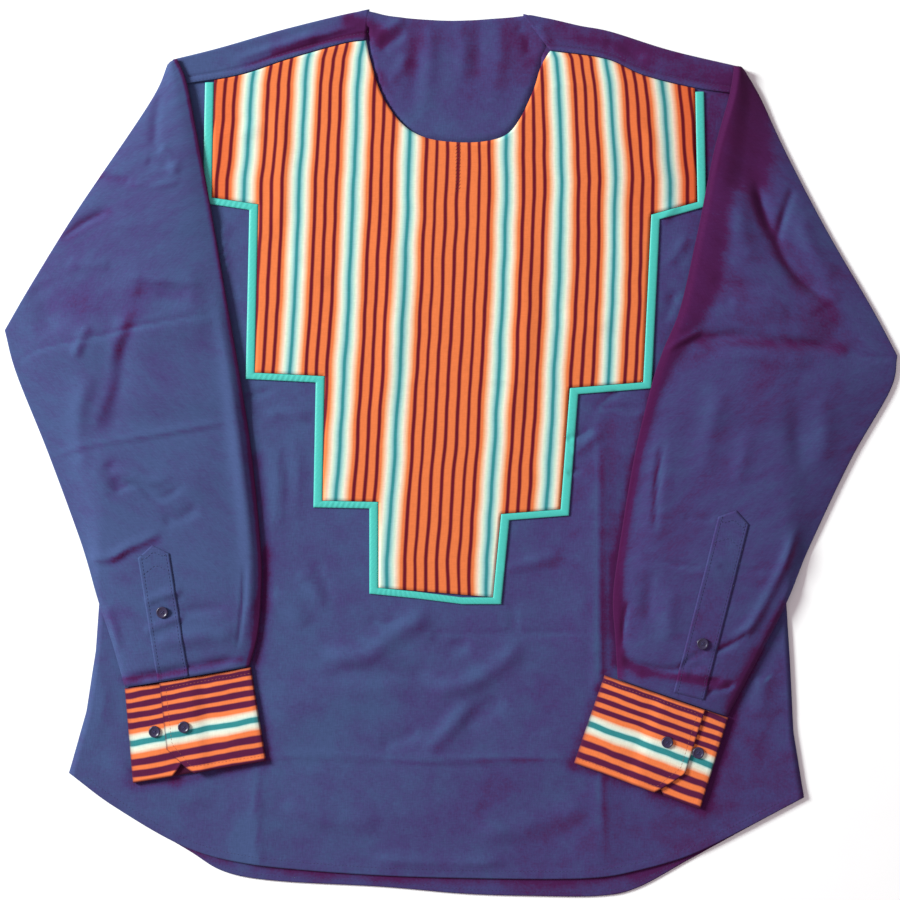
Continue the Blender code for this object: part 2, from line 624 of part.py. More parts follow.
def sleeve_section(inner, outer, edge, open_armhole, near_underarm, head_share):
    """One section of a sleeve, as a loop of points: from the armhole or the body's edge outwards along the
    lower layer, round the outer fold, back along the upper layer, round the inner fold and back below."""
    width = math.dist(inner, outer)
    along = ((outer[0] - inner[0]) / width, (outer[1] - inner[1]) / width)
    side = -1.0 if along[0] < 0 else 1.0

    def at(t):
        return inner[0] + along[0] * t, inner[1] + along[1] * t

    def beyond(t):
        """How far outside the body's edge the point at t lies."""
        x, y = at(t)
        return side * (x - cross_x(edge, y))

    low, high = 0.0, width
    for _ in range(30):
        half = (low + high) / 2
        low, high = (half, high) if beyond(half) < 0 else (low, half)
    body_edge = (low + high) / 2

    def lower_middle(t):
        """Middle of the lower layer: on the body inside its edge, and on the table outside."""
        x, y = at(t)
        drop = 1.0 if open_armhole and t > body_edge else ease((beyond(t) - RAMP_START) / SLEEVE_RAMP)
        return mix(rest_height(x, y), 0.0, drop) + CLOTH / 2

    outer_fold = min(SLEEVE_FOLD + SLEEVE_HEAD_ROUND * head_share, width / 5)
    inner_fold = min(SLEEVE_FOLD, width / 6)
    outer_end, inner_end = width - outer_fold, inner_fold
    if open_armhole:
        start = min(body_edge + SEAM_CLEAR + UNDERARM_CLEAR * near_underarm, outer_end - 1.0)
        finish_at = max(body_edge - SEAM_CLEAR, inner_end + 1.5)
    else:
        start = finish_at = min(body_edge + RAMP_START, outer_end - STRAND_CELLS)
    loop = []
    for k in range(STRAND_CELLS):
        near = start + SLEEVE_RAMP / 2 * k
        even = mix(start, outer_end, k / STRAND_CELLS)
        t = even if open_armhole else min(near, mix(start, outer_end, k / STRAND_CELLS)) if k < 3 else even
        loop.append((*at(t), lower_middle(t)))
    foot = lower_middle(outer_end)
    for k in range(ARC_CELLS + 1):
        angle = math.pi * k / ARC_CELLS
        x, y = at(outer_end + math.sin(angle) * outer_fold)
        loop.append((x, y, foot + (1 - math.cos(angle)) * outer_fold))
    top_outer = foot + 2 * outer_fold
    base = lower_middle(inner_end)
    top_inner = base + 2 * inner_fold
    folds = RIGHT_SLEEVE_FOLDS if side < 0 else LEFT_SLEEVE_FOLDS
    puff = min(SLEEVE_PUFF, 0.035 * width)
    for k in range(1, SLEEVE_TOP_CELLS):
        t = mix(outer_end, inner_end, k / SLEEVE_TOP_CELLS)
        x, y = at(t)
        fall = ease((t - body_edge) / max(width - body_edge, 1.0))
        share = 2 * (t - inner_end) / (outer_end - inner_end) - 1
        rise = puff * (1 - share ** 4)
        inside = ease(min(t, width - t) / 30)
        height = mix(top_inner, top_outer, fall) + rise + inside * fold_rise(x, y, folds)
        loop.append((x, y, max(height, lower_middle(t) + CLOTH + 2 * GAP)))
    for k in range(ARC_CELLS + 1):
        angle = math.pi * k / ARC_CELLS
        x, y = at(inner_end - math.sin(angle) * inner_fold)
        loop.append((x, y, base + (1 + math.cos(angle)) * inner_fold))
    for k in range(1, STRAND_CELLS + 1):
        t = mix(inner_end, finish_at, k / STRAND_CELLS)
        height = lower_middle(min(t, body_edge)) if open_armhole else lower_middle(t)
        loop.append((*at(t), height))
    return loop


def sleeve_stations(rows):
    """Inner and outer edge points down the sleeve, smooth above and below the elbow's corner."""
    stations = []
    for first, last in ((0, ELBOW_ROW), (ELBOW_ROW, len(rows) - 1)):
        inner = smooth_path([(row.inner_x, row.inner_y) for row in rows[first:last + 1]])
        outer = smooth_path([(row.outer_x, row.outer_y) for row in rows[first:last + 1]])
        pairs = [a + b for a, b in zip(inner, outer)]
        length = sum(math.dist(a[2:], b[2:]) for a, b in zip(pairs, pairs[1:]))
        pairs = spaced(pairs, round(length / MESH_STEP))
        stations += pairs if not stations else pairs[1:]
    return [(p[:2], p[2:]) for p in stations]


def make_sleeve(name, rows, edge):
    """A sleeve: a flattened tube below the underarm, and above it a sheet that opens round the armhole."""
    stations = sleeve_stations(rows)
    underarm = edge[UNDERARM_ROW][1]
    sheet = Sheet()
    loops = []
    for k, (inner, outer) in enumerate(stations):
        half = mix(inner[1], outer[1], 0.5)
        head_share = 1 - ease(math.dist(outer, stations[0][1]) / 60)
        near_underarm = 1 - ease((half - underarm - 10) / 70)
        loops.append(sleeve_section(inner, outer, edge, half > underarm, near_underarm, head_share))
    if edge is RIGHT_EDGE:
        loops = [loop[::-1] for loop in loops]
    sheet.patch(loops[::-1])
    cloth_wall(name, sheet.points, sheet.faces, CLOTH, NAVY)
    return sheet.tree()


def corner_share(distance):
    """How much of the cuff's height is left this far from the tip of an end with a rounded corner."""
    if distance >= CUFF_CORNER_REACH:
        return 1.0
    t = 1 - distance / CUFF_CORNER_REACH
    return 1 - CUFF_CORNER_SHARE * (1 - math.sqrt(max(0.0, 1 - t * t)))


def make_cuff(name, plan, front_tree):
    """A cuff: one strip that runs from its hidden end round both folds to the buttoned flap on top."""
    width = math.dist(plan.outer_top, plan.inner_top)
    tip_steps = (0.0, 2.0, 5.5, 11.0, CUFF_CORNER_REACH)

    def level(reach, share):
        """Middle height of the lower layer."""
        x, y = spot(reach, share)
        return height_on(front_tree, x, y) + CLOTH / 2 + GAP + CUFF / 2

    def spot(reach, share):
        """Plan point at a reach from the outer side and a share of the height from the top."""
        return mix(mix(plan.outer_top, plan.inner_top, reach / width),
                   mix(plan.outer_foot, plan.inner_foot, reach / width), share)

    stations = []
    under_lift, flap_lift = 2 * CUFF_FOLD, 2 * CUFF_FOLD + CUFF + GAP
    for d in (*tip_steps, 30.0, 42.0):
        stations.append((CUFF_UNDER_REACH - d, under_lift, corner_share(d)))
    for k in range(ARC_CELLS + 1):
        angle = math.pi * k / ARC_CELLS
        stations.append((CUFF_FOLD * (1 - math.sin(angle)), (1 + math.cos(angle)) * CUFF_FOLD, 1.0))
    for k in range(1, STRAND_CELLS):
        stations.append((mix(CUFF_FOLD, width - CUFF_FOLD, k / STRAND_CELLS), 0.0, 1.0))
    for k in range(ARC_CELLS + 1):
        angle = math.pi * k / ARC_CELLS
        stations.append((width - CUFF_FOLD * (1 - math.sin(angle)), (1 - math.cos(angle)) * CUFF_FOLD, 1.0))
    over = CUFF_UNDER_REACH + 2
    for reach in (width - 16, over + 22, over + 14, over + 7, over, plan.flap_reach + CUFF_CORNER_REACH):
        lift = mix(flap_lift, under_lift, ease((reach - over) / 14))
        stations.append((reach, lift, 1.0))
    for d in tip_steps[-2::-1]:
        stations.append((plan.flap_reach + d, flap_lift, corner_share(d)))
    rows_down = 5
    sheet = Sheet()
    rows = []
    for j in range(rows_down + 1):
        row = []
        for reach, lift, reach_down in stations:
            share = reach_down * j / rows_down
            row.append((*spot(reach, share), level(reach, share) + lift))
        rows.append(row)
    # The strip starts on its outer face at the hidden end, so its rows run inwards and then back
    mirrored = plan.outer_top[0] > 0
    sheet.patch(rows if mirrored else rows[::-1])
    cloth_wall(name, sheet.points, sheet.faces, CUFF, STRIPES)
    tree = sheet.tree()
    spots = {
        "button": spot(plan.button_reach, plan.button_drop),
        "spare_button": spot(plan.spare_button_reach, plan.button_drop),
    }
    return tree, spots


def make_placket(name, plan, sleeve_tree):
    """A sleeve placket: a strip with a pointed top, sewn on the upper layer of the sleeve."""
    top, foot = (plan.top_x, plan.top_y), (plan.foot_x, plan.foot_y)
    length = math.dist(top, foot)
    along = ((foot[0] - top[0]) / length, (foot[1] - top[1]) / length)
    across = (-along[1], along[0])
    rows = []
    count = round(length / PLACKET_STEP)
    for j in range(count + 1):
        row = []
        for k in (-2, -1, 0, 1, 2):
            point = PLACKET_POINT * (1 - abs(k) / 2) * (1 - j / count)
            run = length * j / count - point
            x = top[0] + along[0] * run + across[0] * PLACKET_WIDTH * k / 4
            y = top[1] + along[1] * run + across[1] * PLACKET_WIDTH * k / 4
            row.append((x, y, height_on(sleeve_tree, x, y) + CLOTH / 2 + PLACKET_LIFT + PLACKET / 2))
        rows.append(row)
    sheet = Sheet()
    sheet.patch(rows)
    cloth_wall(name, sheet.points, sheet.faces, PLACKET, NAVY)
    return sheet.tree(), mix(top, foot, plan.button_drop)


def make_button(name, tree, spot, half_cloth):
    """A turned button with a raised rim, lying on the cloth under it."""
    around = [(spot[0] + BUTTON_RADIUS * math.cos(a), spot[1] + BUTTON_RADIUS * math.sin(a))
              for a in (k * math.pi / 6 for k in range(12))]
    base = max(height_on(tree, x, y) for x, y in [spot, *around]) + half_cloth + BUTTON_LIFT
    profile = (
        (0.0, 0.0), (0.8, 0.0), (1.0, 0.35), (1.0, 0.8), (0.86, 1.0),
        (1 - BUTTON_RIM / BUTTON_RADIUS, 0.92), (0.62, 1 - BUTTON_DISH / BUTTON_HEIGHT),
        (0.0, 1 - BUTTON_DISH / BUTTON_HEIGHT),
    )  # fmt: skip
    bm = bmesh.new()
    chain = [bm.verts.new((r * BUTTON_RADIUS * MM, 0.0, z * BUTTON_HEIGHT * MM)) for r, z in profile]
    edges = [bm.edges.new(pair) for pair in zip(chain, chain[1:])]
    bmesh.ops.spin(bm, geom=chain + edges, cent=(0, 0, 0), axis=(0, 0, 1), angle=2 * math.pi,
                   steps=BUTTON_SIDES, use_merge=True, use_normal_flip=False)
    bmesh.ops.remove_doubles(bm, verts=bm.verts, dist=1e-6)
    bmesh.ops.recalc_face_normals(bm, faces=bm.faces)
    mesh = bpy.data.meshes.new(name)
    bm.to_mesh(mesh)
    bm.free()
    obj = bpy.data.objects.new(name, mesh)
    bpy.context.scene.collection.objects.link(obj)
    obj.location = (spot[0] * MM, spot[1] * MM, base * MM)
    finish(obj, BUTTON_GREY, roughness=0.35)


def main():
    for obj in list(bpy.data.objects):
        bpy.data.objects.remove(obj, do_unlink=True)
    make_back()
    make_yoke()
    front_tree = make_front()
    make_piping(front_tree)
    make_bib(front_tree)
    for side, rows, edge, cuff, placket in (
        ("right", RIGHT_SLEEVE, RIGHT_EDGE, RIGHT_CUFF, RIGHT_PLACKET),
        ("left", LEFT_SLEEVE, LEFT_EDGE, LEFT_CUFF, LEFT_PLACKET),
    ):
        sleeve_tree = make_sleeve(f"sleeve_{side}", rows, edge)
        placket_tree, placket_spot = make_placket(f"placket_{side}", placket, sleeve_tree)
        make_button(f"placket_button_{side}", placket_tree, placket_spot, PLACKET / 2)
        cuff_tree, spots = make_cuff(f"cuff_{side}", cuff, front_tree)
        for part, spot in spots.items():
            make_button(f"cuff_{part}_{side}", cuff_tree, spot, CUFF / 2)


main()
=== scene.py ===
"""Cloth, stripes, piping, stitches and buttons of a long-sleeve shirt laid flat, its sleeves folded down.

Each cut piece gets a thin shell of cloth on the form of its solid, with its creases placed one by one.
Surfaces are worked out in millimetres, X to the right, Y towards the neck and Z up, and made into meshes in
metres.
Right and left are the wearer's, so the right sleeve is on the -X side.
"""

import math
from collections import namedtuple

import bmesh
import bpy
import numpy as np
from bpy.props import FloatProperty, FloatVectorProperty, PointerProperty
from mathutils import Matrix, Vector
from mathutils.bvhtree import BVHTree


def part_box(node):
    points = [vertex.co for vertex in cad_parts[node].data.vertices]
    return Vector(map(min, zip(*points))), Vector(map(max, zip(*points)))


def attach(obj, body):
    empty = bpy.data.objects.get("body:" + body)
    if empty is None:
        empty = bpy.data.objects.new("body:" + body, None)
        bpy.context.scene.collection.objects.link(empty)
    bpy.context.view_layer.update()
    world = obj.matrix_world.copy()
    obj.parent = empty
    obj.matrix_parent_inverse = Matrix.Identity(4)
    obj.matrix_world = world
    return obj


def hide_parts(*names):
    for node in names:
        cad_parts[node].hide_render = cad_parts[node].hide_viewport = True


bl_info = {
    "name": "Laid Shirt",
    "version": (1, 0, 0),
    "blender": (4, 5, 0),
    "location": "View3D > Sidebar > Shirt",
    "description": "Builds the cloth, piping, stitches and buttons of a shirt laid flat",
    "category": "Object",
}

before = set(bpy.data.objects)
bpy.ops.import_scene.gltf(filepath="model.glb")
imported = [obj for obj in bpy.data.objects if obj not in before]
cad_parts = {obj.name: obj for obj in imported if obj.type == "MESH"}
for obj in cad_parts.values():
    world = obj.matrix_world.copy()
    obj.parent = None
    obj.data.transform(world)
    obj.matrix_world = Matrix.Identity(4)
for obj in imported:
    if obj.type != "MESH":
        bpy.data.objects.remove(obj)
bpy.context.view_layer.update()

MM = 0.001


def table(kind, *rows):
    """Rows of numbers as named tuples."""
    return tuple(kind(*row) for row in rows)


# Layers, as the solids have them
CLOTH = 1.2
BIB = 1.1
CUFF = 1.6
PIPING = 1.6
GAP = 0.3
BACK_MIDDLE = CLOTH / 2
FRONT_MIDDLE = CLOTH + GAP + CLOTH / 2
AIR_RISE = 2.0
AIR_CENTRE = (-4.0, 20.0)
AIR_REACH = (295.0, 345.0)

# Outline of the body, read down each edge
EDGE_ROW = namedtuple("EDGE_ROW", "name right_x right_y left_x left_y")
BODY_EDGE = table(
    EDGE_ROW,
    ("shoulder", -239, 337, 247, 331),
    ("front yoke seam", -234, 316, 242, 309),
    ("back yoke seam", -221, 258, 232, 256),
    ("front of armhole", -219, 230, 227, 225),
    ("lower armhole", -224, 195, 230, 190),
    ("scoop", -240, 150, 243, 150),
    ("near underarm", -262, 118, 258, 118),
    ("underarm", -283, 101, 276, 97),
    ("chest", -292, 10, 282, 10),
    ("waist", -300, -100, 286, -100),
    ("hip", -305, -170, 291, -180),
    ("seat", -313, -222, 294, -240),
    ("hem corner", -328, -275, 303, -296),
)
YOKE_SEAM_ROW = 2
UNDERARM_ROW = 7
RIGHT_SHOULDER = ((-239, 337), (-199, 347), (-147, 362), (-95, 375), (-70, 380))
LEFT_SHOULDER = ((62, 376), (85, 372), (111, 366), (137, 361), (188, 345), (247, 331))
RIGHT_YOKE_SEAM = ((-230, 316), (-182, 324), (-139, 338), (-93, 351), (-73, 354))
LEFT_YOKE_SEAM = ((85, 345), (133, 338), (165, 324), (209, 313), (243, 308))
SEAM_TUCK = 0.33
SHOULDER_CELLS = 50
YOKE_FOLD_CELLS = 8
YOKE_STRIP_CELLS = 20
BACK_NECK = ((-70, 380), (-45, 375), (0, 372), (40, 374), (62, 376))
FRONT_NECK = (
    (-72, 362), (-69, 336), (-59, 306), (-42, 282), (-22, 270), (5, 266),
    (30, 267), (48, 273), (60, 288), (71, 312), (77, 331), (83, 353),
)  # fmt: skip
FRONT_HEM = ((-328, -275), (-289, -304), (-227, -339), (-166, -354), (-60, -363), (60, -366),
             (122, -365), (159, -359), (204, -346), (246, -326), (303, -296))  # fmt: skip
BACK_HEM = ((-328, -275), (-289, -304), (-227, -341), (-195, -360), (-150, -368), (-60, -373), (10, -379),
            (70, -381), (127, -381), (160, -374), (204, -350), (246, -327), (303, -296))  # fmt: skip
HEM_DEPTH = 7.5

# The stepped bib and its piping
STEP = namedtuple("STEP", "outer_right_x outer_right_y inner_right_x inner_right_y "
                          "inner_left_x inner_left_y outer_left_x outer_left_y")  # fmt: skip
BIB_TOP = ((-211, 317.5), (217, 309.5))
BIB_STEPS = table(
    STEP,
    (-213, 214, -173, 208, 179, 200, 219, 211),
    (-176, 63, -116, 60, 109, 50, 172, 55),
    (-118, -47, -70, -48, 50, -58, 101, -54),
    (-70, -121, -30, -125, 10, -130, 43, -130),
)
BIB_SEAM_GAP = 0.6
PIPING_SIDE_WIDTH = 7.6
PIPING_STEP_WIDTH = 5.8
GATHER_PITCH = 4.6

# The cloth's stripes: across the centre group of dark lines, then repeating either side of it
DARK_PITCH = 9.4
DARK_WIDTH = 3.5
FIRST_TEAL = 41.9
OUTER_DARK = 14.6
STRIPE_REPEAT = 47.0
OUTER_DRAW = 1.7
CUFF_PITCH = 9.2
CUFF_ORANGE = 11.0
CUFF_MIDDLE = 10.0

# How the stripes run on the bib: where the centre line lies and how far each side is drawn in
GRAIN_ROW = namedtuple("GRAIN_ROW", "y centre_x right_spread left_spread")
GRAIN = table(
    GRAIN_ROW,
    (352, 7.0, 0.925, 0.870),
    (338, 6.9, 0.958, 0.935),
    (316, 6.7, 0.976, 0.962),
    (286, 6.3, 0.981, 0.980),
    (234, 5.5, 1.003, 1.007),
    (200, 4.4, 1.003, 1.010),
    (131, 1.5, 1.003, 1.017),
    (2, -5.6, 1.009, 1.018),
    (-92, -12.4, 1.020, 1.022),
)

# Stretches of a sleeve from the shoulder down: where the section's inner and outer edge lie
SLEEVE_ROW = namedtuple("SLEEVE_ROW", "name inner_x inner_y outer_x outer_y")
RIGHT_SLEEVE = table(
    SLEEVE_ROW,
    ("head", -235, 337, -243, 333),
    ("cap", -227, 318, -252, 311),
    ("upper arm", -219, 279, -273, 278),
    ("biceps", -205, 204, -322, 206),
    ("above elbow", -194, 140, -361, 143),
    ("elbow", -187, 101, -383, 105),
    ("below elbow", -181, 66, -373, 68),
    ("forearm", -171, -2, -345, -2),
    ("placket", -163, -84, -315, -84),
    ("wrist", -163, -125, -302, -127),
    ("gathers", -166, -157, -290, -163),
    ("cuff seam", -173, -183.2, -279.1, -201),
)
LEFT_SLEEVE = table(
    SLEEVE_ROW,
    ("head", 243, 331, 251, 329),
    ("cap", 238.5, 305, 266, 303),
    ("upper arm", 225, 256, 287, 258),
    ("biceps", 212, 191, 322, 191),
    ("above elbow", 197, 125, 361, 124),
    ("elbow", 182, 88, 383, 83),
    ("below elbow", 172, 58, 377, 54),
    ("forearm", 157, -6, 343, -6),
    ("placket", 144, -84, 306, -84),
    ("wrist", 139, -125, 287, -129),
    ("gathers", 141, -158, 268, -166),
    ("cuff seam", 143.2, -193.6, 236.5, -225.6),
)
ELBOW_ROW = 5
SLEEVE_FOLD = 0.95
SLEEVE_HEAD_ROUND = 1.0
SLEEVE_PUFF = 3.2
RAMP_START = 3.0
SLEEVE_RAMP = 18.0
SLEEVE_CLEAR = 0.7
SEAM_CLEAR = 1.2
UNDERARM_CLEAR = 4.0
SLEEVE_TOP_CELLS = 64
STRAND_CELLS = 4
ARC_CELLS = 6

# Cuffs, plackets and buttons
CUFF_PLAN = namedtuple("CUFF_PLAN", "outer_top inner_top inner_foot outer_foot flap_reach button_reach "
                                    "spare_button_reach button_drop teal_depth inner_teal_depth "
                                    "upper_spread lower_spread under_slip orange_width")  # fmt: skip
RIGHT_CUFF = CUFF_PLAN((-279, -202), (-172, -184), (-159, -264), (-272, -283), 30, 46.5, 21.5, 0.50,
                       46.4, 45.0, 1.07, 0.93, -1.2, 3.5)  # fmt: skip
LEFT_CUFF = CUFF_PLAN((237, -227), (132, -191), (106, -266), (213, -305), 21, 43.5, 15.4, 0.45,
                      44.6, 43.6, 1.12, 0.88, 2.5, 4.3)  # fmt: skip
CUFF_UNDER_REACH = 52.0
CUFF_CORNER_REACH = 20.0
CUFF_CORNER_SHARE = 0.30
CUFF_FOLD = 1.1
CUFF_ROWS = 34
NOTCH_REACH = 42
NOTCH_HALF_WIDTH = 26
PLACKET_PLAN = namedtuple("PLACKET_PLAN", "top_x top_y foot_x foot_y button_drop")
RIGHT_PLACKET = PLACKET_PLAN(-254, -88, -237.5, -193, 0.46)
LEFT_PLACKET = PLACKET_PLAN(241, -58, 203, -208, 0.70)
PLACKET_WIDTH = 27.0
PLACKET_POINT = 9.0
PLACKET_LIFT = 0.25
BUTTON_RADIUS = 5.0
BUTTON_HEIGHT = 2.2

# Largest folds, as the solids have them: a negative rise is a trough
FOLD = namedtuple("FOLD", "x0 y0 x1 y1 half_width rise")
FRONT_FOLDS = table(
    FOLD,
    (128, -20, 118, -160, 20, 1.5),
    (125, -300, 125, -340, 22, 1.2),
    (-166, -300, -166, -345, 22, 1.2),
    (-140, -222, -60, -190, 24, 1.6),
    (-20, -262, 85, -266, 24, 1.4),
    (-120, -300, 40, -318, 26, 1.1),
)
RIGHT_SLEEVE_FOLDS = table(
    FOLD,
    (-365, 80, -195, 118, 17, 1.8),
    (-287, 105, -292, 30, 16, -1.8),
    (-335, 185, -300, 205, 15, -1.3),
    (-270, 145, -225, 140, 17, 1.2),
    (-300, -15, -225, -30, 18, 1.5),
)
LEFT_SLEEVE_FOLDS = table(
    FOLD,
    (205, 98, 340, 86, 17, -1.8),
    (255, 235, 300, 150, 18, -1.8),
    (300, 66, 304, -40, 18, -1.2),
    (178, 10, 173, -60, 15, 1.4),
    (165, -90, 225, -100, 14, 1.2),
)

# Creases, placed one by one. A positive lean lifts the side to the left of the line's run and lowers the
# other.
CREASE = namedtuple("CREASE", "half_width rise lean points")
FRONT_CREASES = table(
    CREASE,
    (3.0, 0.9, -0.5, ((129, 56), (128, -80), (128, -200), (129, -262), (131, -372))),
    (3.2, 0.6, -0.45, ((-166, -266), (-166, -330), (-165, -362))),
    (2.6, 0.6, 1.0, ((-168, -261), (-100, -262), (-20, -265), (60, -263), (128, -264))),
    (2.4, -0.5, 0.4, ((-35, -154), (10, -156), (59, -156), (120, -155))),
    (2.6, -0.7, 0.5, ((-72, -145), (-58, -147), (-42, -145))),
    (8.5, 1.7, 0.3, ((-112, -172), (-88, -177), (-68, -173), (-46, -156), (-14, -138))),
    (7.0, -1.1, 0.2, ((-110, -188), (-61, -192), (-44, -189), (-14, -193))),
    (8.0, 1.5, 0.4, ((-20, -205), (16, -200), (42, -184), (64, -164))),
    (7.0, 1.3, -0.3, ((-24, -258), (-1, -234), (18, -212))),
    (6.0, -1.0, 0.2, ((-18, -158), (0, -168), (18, -164))),
    (7.0, -1.0, -0.2, ((10, -236), (26, -222), (46, -210))),
    (5.0, -0.8, 0.4, ((-60, -252), (-40, -246), (-26, -238))),
    (5.0, 0.9, 0.4, ((44, -102), (66, -96), (96, -90))),
    (3.0, -0.6, -0.4, ((54, -126), (55, -140), (55, -156))),
    (5.0, 0.8, 0.4, ((-132, -102), (-120, -118), (-108, -132))),
    (4.0, -0.6, 0.3, ((-116, -92), (-110, -112), (-102, -128))),
    (8.0, 0.8, 0.3, ((-156, -126), (-140, -132), (-124, -150))),
    (2.8, -0.8, 0.5, ((-178, 46), (-168, 49), (-152, 53))),
    (4.5, 0.9, 0.5, ((-158, 30), (-140, 33), (-120, 28))),
    (5.0, 0.8, -0.5, ((-150, 10), (-146, -30), (-148, -70))),
    (5.0, 0.6, -0.4, ((-134, 18), (-130, -20), (-134, -60))),
    (3.2, -0.9, 0.4, ((98, 10), (110, 14), (122, 20))),
    (4.0, 0.9, 0.4, ((104, -2), (116, 6), (128, 18))),
    (3.0, -0.8, 0.4, ((124, 34), (132, 44), (146, 52))),
    (2.4, -0.7, 0.6, ((130, 38), (146, 37), (165, 35))),
    (3.0, -0.6, 0.4, ((100, -20), (106, -17), (114, -13))),
    (4.0, 0.7, 0.5, ((182, 196), (188, 206), (196, 214))),
    (4.0, 0.7, 0.5, ((186, 160), (196, 172), (204, 186))),
    (3.5, -0.8, 0.4, ((184, 112), (190, 126), (194, 140))),
    (4.0, 0.8, -0.4, ((-192, 196), (-196, 176), (-190, 150))),
    (6.0, -1.3, 0.3, ((292, -222), (280, -234), (270, -262))),
    (7.0, 1.1, 0.4, ((256, -150), (266, -180), (262, -230))),
    (7.0, 0.8, 0.3, ((276, -130), (282, -160), (280, -190))),
    (9.0, 0.8, 0.5, ((20, -330), (70, -322), (118, -306))),
    (5.0, -0.8, 0.5, ((22, -304), (44, -318), (64, -328))),
    (9.0, 0.8, 0.4, ((-150, -300), (-110, -318), (-60, -318))),
    (8.0, 0.7, 0.5, ((150, -290), (190, -312), (230, -310))),
    (8.0, 0.7, 0.4, ((-300, -262), (-250, -292), (-205, -300))),
    (5.0, 0.6, 0.4, ((-306, -180), (-300, -215), (-312, -250))),
    (6.0, 0.9, 0.4, ((-70, -350), (-10, -354), (50, -353))),
)
YOKE_CREASES = table(
    CREASE,
    (6.5, 0.8, -0.4, ((-17, 373), (-16, 340), (-20, 305), (-22, 290))),
    (6.0, 0.7, -0.4, ((9, 373), (12, 345), (10, 315))),
    (6.0, -0.6, 0.3, ((-30, 372), (-31, 340), (-35, 296))),
    (5.5, -0.6, 0.3, ((22, 372), (23, 345), (20, 315))),
    (7.0, 0.6, -0.4, ((42, 372), (44, 340), (36, 296))),
    (4.5, 1.2, 0.5, ((-66, 352), (-54, 362), (-38, 371))),
    (4.0, -0.9, 0.5, ((-60, 344), (-50, 352), (-38, 360))),
    (5.0, 0.8, -0.3, ((-54, 318), (-44, 330), (-38, 344))),
    (4.5, -0.8, 0.4, ((54, 366), (64, 356), (66, 338))),
    (3.4, 0.8, 0.8, ((-150, 345), (-118, 355), (-92, 361), (-78, 366))),
    (4.0, 0.9, -0.5, ((-190, 336), (-150, 349), (-112, 362))),
    (3.0, -0.8, 0.5, ((-120, 350), (-100, 357), (-82, 361))),
    (4.5, 0.8, 0.5, ((98, 358), (128, 354), (150, 342))),
    (5.0, -0.8, 0.4, ((130, 350), (148, 346), (166, 336))),
    (5.0, 0.8, -0.5, ((160, 342), (190, 332), (222, 321))),
    (3.5, 0.7, 0.5, ((74, 366), (80, 356), (84, 350))),
)
RIGHT_SLEEVE_CREASES = table(
    CREASE,
    (2.2, -0.7, 0.5, ((-376, 72), (-358, 86), (-323, 94), (-289, 101), (-267, 107), (-194, 120))),
    (2.4, 0.6, 0.9, ((-344, -6), (-315, 4), (-276, 11), (-233, 18), (-177, 28))),
    (7.0, 0.9, -0.6, ((-270, 124), (-279, 104), (-286, 84), (-288, 60), (-296, 38), (-306, 16))),
    (5.0, -0.5, 0.3, ((-268, 120), (-276, 100), (-282, 80), (-284, 58), (-292, 36))),
    (4.0, 1.0, -0.6, ((-309, 108), (-314, 96), (-320, 80))),
    (8.0, 1.0, -0.5, ((-304, 70), (-316, 30), (-312, -20))),
    (3.4, -1.3, 0.5, ((-338, 182), (-332, 185), (-313, 197), (-292, 207))),
    (3.0, -1.0, 0.5, ((-306, 232), (-296, 235), (-272, 230))),
    (3.0, 0.6, 0.7, ((-272, 229), (-250, 227), (-230, 231))),
    (3.6, 0.6, 1.0, ((-278, 149), (-246, 145), (-212, 142))),
    (9.0, -0.9, 0.2, ((-270, 138), (-245, 134), (-220, 134))),
    (5.0, 0.8, 0.4, ((-330, 160), (-310, 160), (-290, 157))),
    (11.0, -1.0, 0.3, ((-358, 144), (-350, 122), (-342, 100))),
    (5.0, -0.8, 0.4, ((-250, 308), (-254, 285), (-255, 258))),
    (5.0, 0.8, 0.4, ((-250, 262), (-240, 250), (-236, 236))),
    (4.0, -0.7, 0.5, ((-262, 248), (-246, 246), (-232, 249))),
    (3.0, -1.0, 0.4, ((-290, -38), (-280, -31), (-268, -28), (-255, -38), (-244, -39), (-226, -28))),
    (4.0, 0.8, 0.4, ((-294, -24), (-278, -18), (-258, -26), (-236, -22))),
    (6.0, -0.9, 0.3, ((-294, -8), (-288, -22), (-284, -36))),
    (3.4, 1.1, 1.0, ((-318, -93), (-290, -91), (-276, -83), (-262, -77), (-246, -69))),
    (5.0, -0.8, 0.4, ((-246, -62), (-229, -56), (-214, -47))),
    (3.6, 1.0, 0.6, ((-262, -130), (-246, -123), (-228, -119))),
    (3.6, 1.0, 0.6, ((-262, -155), (-246, -147), (-226, -140))),
    (5.0, -0.9, 0.4, ((-246, -140), (-220, -136), (-190, -134))),
    (7.0, 1.3, 0.3, ((-256, -164), (-215, -159), (-182, -156))),
    (3.4, -2.0, 0.3, ((-280, -195), (-250, -190), (-216, -183), (-180, -177))),
    (4.0, 0.9, 0.4, ((-296, -130), (-290, -150), (-286, -172))),
    (7.5, 2.4, -0.2, ((-199, 150), (-187, 70), (-179, 0), (-171, -70), (-171, -120), (-177, -170))),
    (1.8, -0.9, 0.4, ((-177, -90), (-178, -127), (-183, -168))),
)
